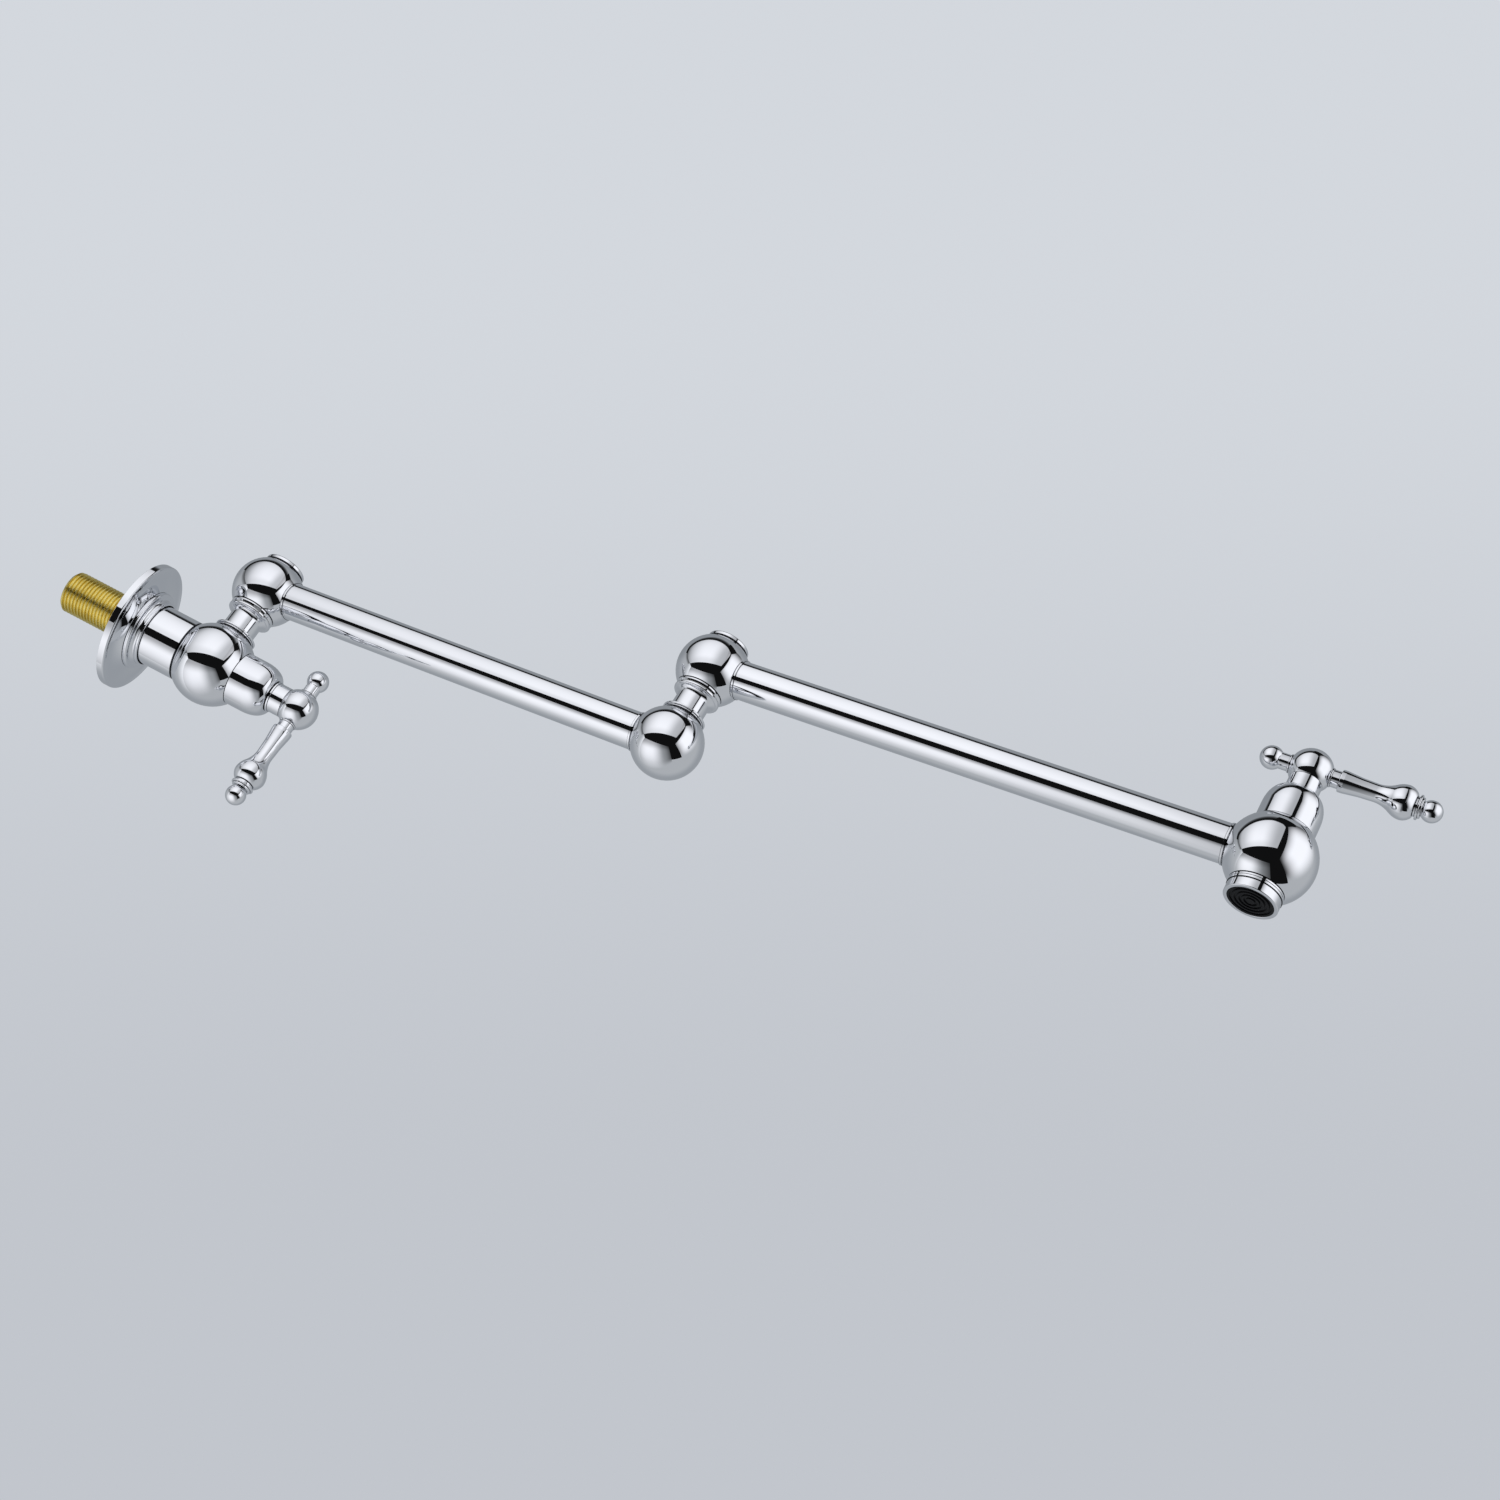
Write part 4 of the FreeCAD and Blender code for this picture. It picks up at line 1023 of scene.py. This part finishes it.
def aerator_insert():
    """Black insert: round ribs with a rounded top, and a raised middle."""
    outer = AERATOR_RADIUS - AERATOR_LIP
    middle_radius = 0.9
    ribs = 4
    rib_round = 0.3
    pitch = (outer - middle_radius) / (2 * ribs + 1)
    deep = INSERT_END - 0.6
    outline = [(INSERT_START, 0), (INSERT_START, outer), (INSERT_END, outer, FINE_EDGE)]
    for step in range(ribs):
        groove_outer = outer - (2 * step + 1) * pitch
        groove_inner = groove_outer - pitch
        outline += [(INSERT_END, groove_outer, rib_round), (deep, groove_outer, FINE_EDGE),
                    (deep, groove_inner, FINE_EDGE), (INSERT_END, groove_inner, rib_round)]
    outline += [(INSERT_END, 0)]
    turned_piece("ribbed_insert", "aerator_insert", OUTLET_PLACE, outline)


# --- Studio ---
def studio_point(right, down, ahead):
    """A point given in millimetres from the camera, in the camera's own directions."""
    return CAMERA_AT + (CAMERA_RIGHT * right + CAMERA_DOWN * down + CAMERA_AHEAD * ahead) * MM


def only_reflected(obj):
    """The object shows in reflections only."""
    obj.visible_camera = False
    obj.visible_diffuse = False
    obj.visible_transmission = False
    obj.visible_shadow = False


def emptied(made):
    """The nodes of a new material or world, with none in them."""
    made.use_nodes = True
    made.node_tree.nodes.clear()
    return Nodes(made.node_tree)


def glow_material(name, light):
    """Light without a surface, as a lamp's light function gives it."""
    made = bpy.data.materials.new(name)
    nodes = emptied(made)
    split = nodes.add("ShaderNodeSeparateXYZ")
    nodes.feed(split.inputs[0], nodes.add("ShaderNodeTexCoord").outputs["UV"])
    level, cover = light(nodes, split.outputs["X"], split.outputs["Y"])
    emission = nodes.add("ShaderNodeEmission")
    nodes.feed(emission.inputs["Strength"], level)
    emission.inputs["Color"].default_value = LAMP_WHITE
    clear = nodes.add("ShaderNodeBsdfTransparent")
    blend = nodes.add("ShaderNodeMixShader")
    nodes.feed(blend.inputs[0], cover)
    nodes.feed(blend.inputs[1], clear.outputs[0])
    nodes.feed(blend.inputs[2], emission.outputs[0])
    output = nodes.add("ShaderNodeOutputMaterial")
    nodes.feed(output.inputs["Surface"], blend.outputs[0])
    made.cycles.emission_sampling = "NONE"
    return made


class Panel:
    """A flat lamp panel: a corner of it, and the directions of its width and height."""

    def __init__(self, corner, along, aside):
        self.corner = Vector(corner)
        self.x = (Vector(along) - self.corner).normalized()
        toward = Vector(aside) - self.corner
        self.y = (toward - self.x * toward.dot(self.x)).normalized()
        self.z = self.x.cross(self.y)

    def at(self, x, y, behind=0.0):
        return self.corner + self.x * x + self.y * y + self.z * behind

    def show(self, name, outline, light, behind=0.0):
        """Add what lies inside an outline, in millimetres from the panel's corner."""
        spots = [self.at(x, y, behind) for x, y in outline]
        obj = mesh_object(name, [studio_point(*spot) for spot in spots], [list(range(len(spots)))])
        layer = obj.data.uv_layers.new(name="metres")
        for loop in obj.data.loops:
            x, y = outline[loop.vertex_index]
            layer.data[loop.index].uv = (x * MM, y * MM)
        obj.data.materials.append(glow_material(name, light))
        only_reflected(obj)


# Where the lamps stood, in millimetres from the camera, worked out from their reflections.
# A lamp is a cloth with its bright tube some way behind it. The light functions work in metres
# from the panel's corner; each gives the level of its light, then how much it covers.
OVERHEAD = Panel((-665, -245, 928), (236, -143, 543), (-430, -560, 1330))
SIDE = Panel((307, 39, 386), (545, -530, 1010), (460, 600, 620))
LOWER = Panel((50, 153, 290), (-680, -124, 895), (170, 635, 615))
OVERHEAD_TUBE_BEHIND = 341
SIDE_TUBE_BEHIND = -313
LOWER_TUBE_BEHIND = 300
LAMP_WHITE = (0.955, 0.965, 1.0, 1)


def overhead_cloth(nodes, x, y):
    """The lit cloth of the overhead lamp, weaker toward both ends."""
    near, far = nodes.span(x, -0.20, 0.20, 0.0, 0.80), nodes.span(x, 0.66, 1.0, 1.0, 0.65)
    return nodes.product(near, far), 0.5


def overhead_tube(nodes, x, y):
    """The bright middle of the overhead lamp, deep behind its cloth."""
    across = nodes.product(nodes.span(x, -0.41, 0.44), nodes.fade(x, 0.61, 1.06))
    down = nodes.product(nodes.span(y, -0.10, 0.16, 0.60, 1.0), nodes.fade(y, 0.10, 1.90))
    return 1.38, nodes.product(across, down)


def overhead_frame(nodes, x, y):
    """Black edge of the overhead lamp, lost in the dim ceiling behind it."""
    return 0.01, nodes.fade(y, 0.84, 1.45)


def overhead_side_shade(nodes, x, y):
    """Soft shade beside the overhead lamp, darkest along the edge of its cloth."""
    return 0.05, nodes.span(nodes.math("MULTIPLY_ADD", y, 0.45, x), -0.32, 0.0, 0.0, 0.85)


def side_tube(nodes, x, y):
    """The bright middle of the side lamp."""
    across = nodes.product(nodes.span(x, -0.45, 0.27), nodes.fade(x, 0.66, 1.66))
    level = nodes.product(across, nodes.span(y, -0.50, 0.06, 0.0, 1.12))
    low = nodes.fade(y, 0.33, 0.84)
    return level, nodes.product(low, nodes.fade(x, 1.45, 1.70))


def lower_cloth(nodes, x, y):
    """Dark cloth, thinner away from its near end and from its upper edge."""
    clear = nodes.product(nodes.span(x, -0.16, 0.44, 0.0, 0.79),
                          nodes.span(y, -0.01, 0.20, 0.43, 1.0))
    low = nodes.fade(y, 0.46, 0.72)
    return 0.004, nodes.product(nodes.math("SUBTRACT", 1.0, clear), low)


def lower_tube(nodes, x, y):
    """The bright middle of the lower lamp, behind its dark cloth."""
    across = nodes.product(nodes.span(x, 0.06, 0.63), nodes.fade(x, 0.76, 1.66))
    return 1.36, nodes.product(across, nodes.fade(y, 0.15, 1.12))


def no_light(nodes, x, y):
    return 0.006, 1.0


def rectangle(left, top, right, bottom):
    return [(left, top), (right, top), (right, bottom), (left, bottom)]


def light_panels():
    """The three lamps, with the frame, shade and flag round the overhead one."""
    rounded_end = [(-200, 465), (-195, 570), (-150, 640), (-20, 680), (150, 690), (550, 690)]
    corner_cut = [(850, 660), (950, 635), (1000, 560)]
    shade_edge = [(-265, 455), (-390, 545), (-600, 680)]
    OVERHEAD.show("overhead_cloth", [(0, 0), (990, 30)] + corner_cut[::-1] + rounded_end[::-1],
                  overhead_cloth)
    OVERHEAD.show("overhead_tube", rectangle(-450, -700, 1150, 1300), overhead_tube,
                  OVERHEAD_TUBE_BEHIND)
    OVERHEAD.show("overhead_top_frame", rounded_end + [
        (780, 690), (800, 1350), (300, 1400), (-700, 1300)] + shade_edge[::-1], overhead_frame)
    OVERHEAD.show("overhead_side_shade", [(0, 0), (-200, 465)] + shade_edge + [(-560, 0)],
                  overhead_side_shade)
    OVERHEAD.show("dark_flag", [(780, 690)] + corner_cut + [(1620, 1800), (1100, 1450),
                                                            (800, 1350)], no_light)
    SIDE.show("side_tube", rectangle(-700, -320, 1800, 900), side_tube, SIDE_TUBE_BEHIND)
    LOWER.show("lower_cloth", [(0, 0), (950, -45), (1030, 720), (0, 720)], lower_cloth)
    LOWER.show("lower_tube", rectangle(50, -400, 1700, 1150), lower_tube, LOWER_TUBE_BEHIND)


def dark_room():
    """The unlit room between the lamps."""
    corners = [
        OVERHEAD.at(0, 0), OVERHEAD.at(990, 30), OVERHEAD.at(1000, 620),
        SIDE.at(877, 0), SIDE.at(0, 620), SIDE.at(0, 0),
        LOWER.at(0, 0), LOWER.at(950, -45), LOWER.at(0, 560),
    ]
    faces = [[0, 1, 6, 7], [1, 5, 6], [1, 2, 3, 5], [6, 5, 4, 8]]
    obj = mesh_object("dark_room", [studio_point(*corner) for corner in corners], faces)
    obj.data.materials.append(glow_material("dark_room", no_light))
    only_reflected(obj)


def choose(nodes, flag, otherwise, chosen):
    """One of two shaders, by a flag of the light path."""
    mix = nodes.add("ShaderNodeMixShader")
    nodes.feed(mix.inputs[0], flag)
    nodes.feed(mix.inputs[1], otherwise.outputs[0])
    nodes.feed(mix.inputs[2], chosen.outputs[0])
    return mix


def world():
    """Pale backdrop for the eye, an even dome for rough surfaces, the table for polished ones.

    `reach` is how far off the middle of a polished ball the table is seen, from 0 to 1.
    """
    made = bpy.data.worlds.new("studio")
    nodes = emptied(made)
    bpy.context.scene.world = made
    where = nodes.add("ShaderNodeTexCoord").outputs["Generated"]
    rays = nodes.add("ShaderNodeLightPath")

    toward = nodes.vector("NORMALIZE", nodes.vector("SUBTRACT", where, tuple(CAMERA_AHEAD)))
    u = nodes.dot(toward, tuple(CAMERA_RIGHT))
    v = nodes.dot(toward, tuple(CAMERA_DOWN))
    reach = nodes.math("SQRT", nodes.math("ADD", nodes.product(u, u), nodes.product(v, v)))
    table = nodes.span(reach, 0.78, 0.95, 0.49, 0.37)
    ceiling = nodes.span(v, -0.50, -0.20, 0.85, 1.0)
    studio = nodes.add("ShaderNodeBackground")
    nodes.feed(studio.inputs["Strength"], nodes.product(table, ceiling))
    nodes.feed(studio.inputs["Color"], nodes.mix(
        nodes.span(reach, 0.78, 0.95), (0.92, 0.96, 1.0, 1), (0.87, 0.93, 1.0, 1)))

    dome = nodes.add("ShaderNodeBackground")
    dome.inputs["Color"].default_value = (0.97, 0.98, 1.0, 1)
    dome.inputs["Strength"].default_value = 0.85

    height = nodes.dot(where, tuple(CAMERA_DOWN))
    backdrop = nodes.add("ShaderNodeBackground")
    nodes.feed(backdrop.inputs["Color"], nodes.mix(
        nodes.span(height, -0.22, 0.20), (0.655, 0.685, 0.730, 1), (0.540, 0.565, 0.610, 1)))

    polish = choose(nodes, rays.outputs["Is Glossy Ray"], dome, studio)
    eye = choose(nodes, rays.outputs["Is Camera Ray"], polish, backdrop)
    output = nodes.add("ShaderNodeOutputWorld")
    nodes.feed(output.inputs["Surface"], eye.outputs[0])


def floor():
    """Plain pale floor under the faucet, seen by the eye and by matt surfaces."""
    half = FLOOR_HALF_WIDTH
    corners = [(x, y, FLOOR_HEIGHT) for x, y in rectangle(-half, -half, half, half)]
    obj = mesh_object("pale_floor", corners, [[0, 1, 2, 3]])
    made, nodes, shader = material("pale_floor")
    mottle = nodes.noise(3.0, 2.0, 0.5, object_coordinates(nodes))
    nodes.feed(shader.inputs["Base Color"],
               nodes.mix(mottle, (0.70, 0.72, 0.75, 1), (0.66, 0.68, 0.71, 1)))
    shader.inputs["Roughness"].default_value = 0.6
    obj.data.materials.append(made)
    obj.visible_glossy = False


def soft_lamp():
    """Broad overhead lamp: a soft shadow on the floor, and nothing in the polished metal."""
    lamp = bpy.data.lights.new("broad_lamp", "SUN")
    lamp.energy = 0.8
    lamp.angle = math.radians(40)
    obj = add_object("broad_lamp", lamp)
    obj.rotation_euler = (math.radians(25), math.radians(-15), 0)
    obj.visible_glossy = False


def camera():
    """The photograph's view of the faucet."""
    data = bpy.data.cameras.new("camera")
    data.sensor_width = SENSOR_WIDTH
    data.lens = FOCAL_PIXELS / IMAGE_PIXELS * SENSOR_WIDTH
    data.clip_start = NEAREST_SEEN
    obj = add_object("camera", data)
    axes = (CAMERA_RIGHT, -CAMERA_DOWN, -CAMERA_AHEAD)
    for row in range(3):
        for column in range(3):
            obj.matrix_world[row][column] = axes[column][row]
    obj.location = CAMERA_AT
    bpy.context.scene.camera = obj


# --- Everything together ---
for node, cad in frame["nodes"].items():
    cad.data.materials.clear()
    cad.data.materials.append(MATERIALS[slot_of(node)])

inlet_nipple()
wall_plate()
plate_collar()
inlet_neck()
large_ball("valve_ball_shell", "valve_ball", VALVE_PLACES[1], NECK_SEAT_RADIUS)
large_ball("outlet_ball_shell", "outlet_ball", VALVE_PLACES[2], OUTLET_SEAT_RADIUS)
for number in (1, 2):
    bonnet(number, VALVE_PLACES[number])
    for make in (handle_collar, handle_hub, lever, finial):
        make(number, HANDLE_PLACES[number])
    swivel_post(number, POST_PLACES[number])
    swivel_ball(number, BALL_PLACES[number])
    swivel_cap(number, BALL_PLACES[number])
arm(1, ARM_1_LENGTH, SMALL_BALL)
arm(2, ARM_2_LENGTH, LARGE_BALL)
elbow_ball()
outlet_pieces()
aerator_insert()

camera()
light_panels()
dark_room()
world()
floor()
soft_lamp()
bpy.context.scene.view_settings.view_transform = "Standard"
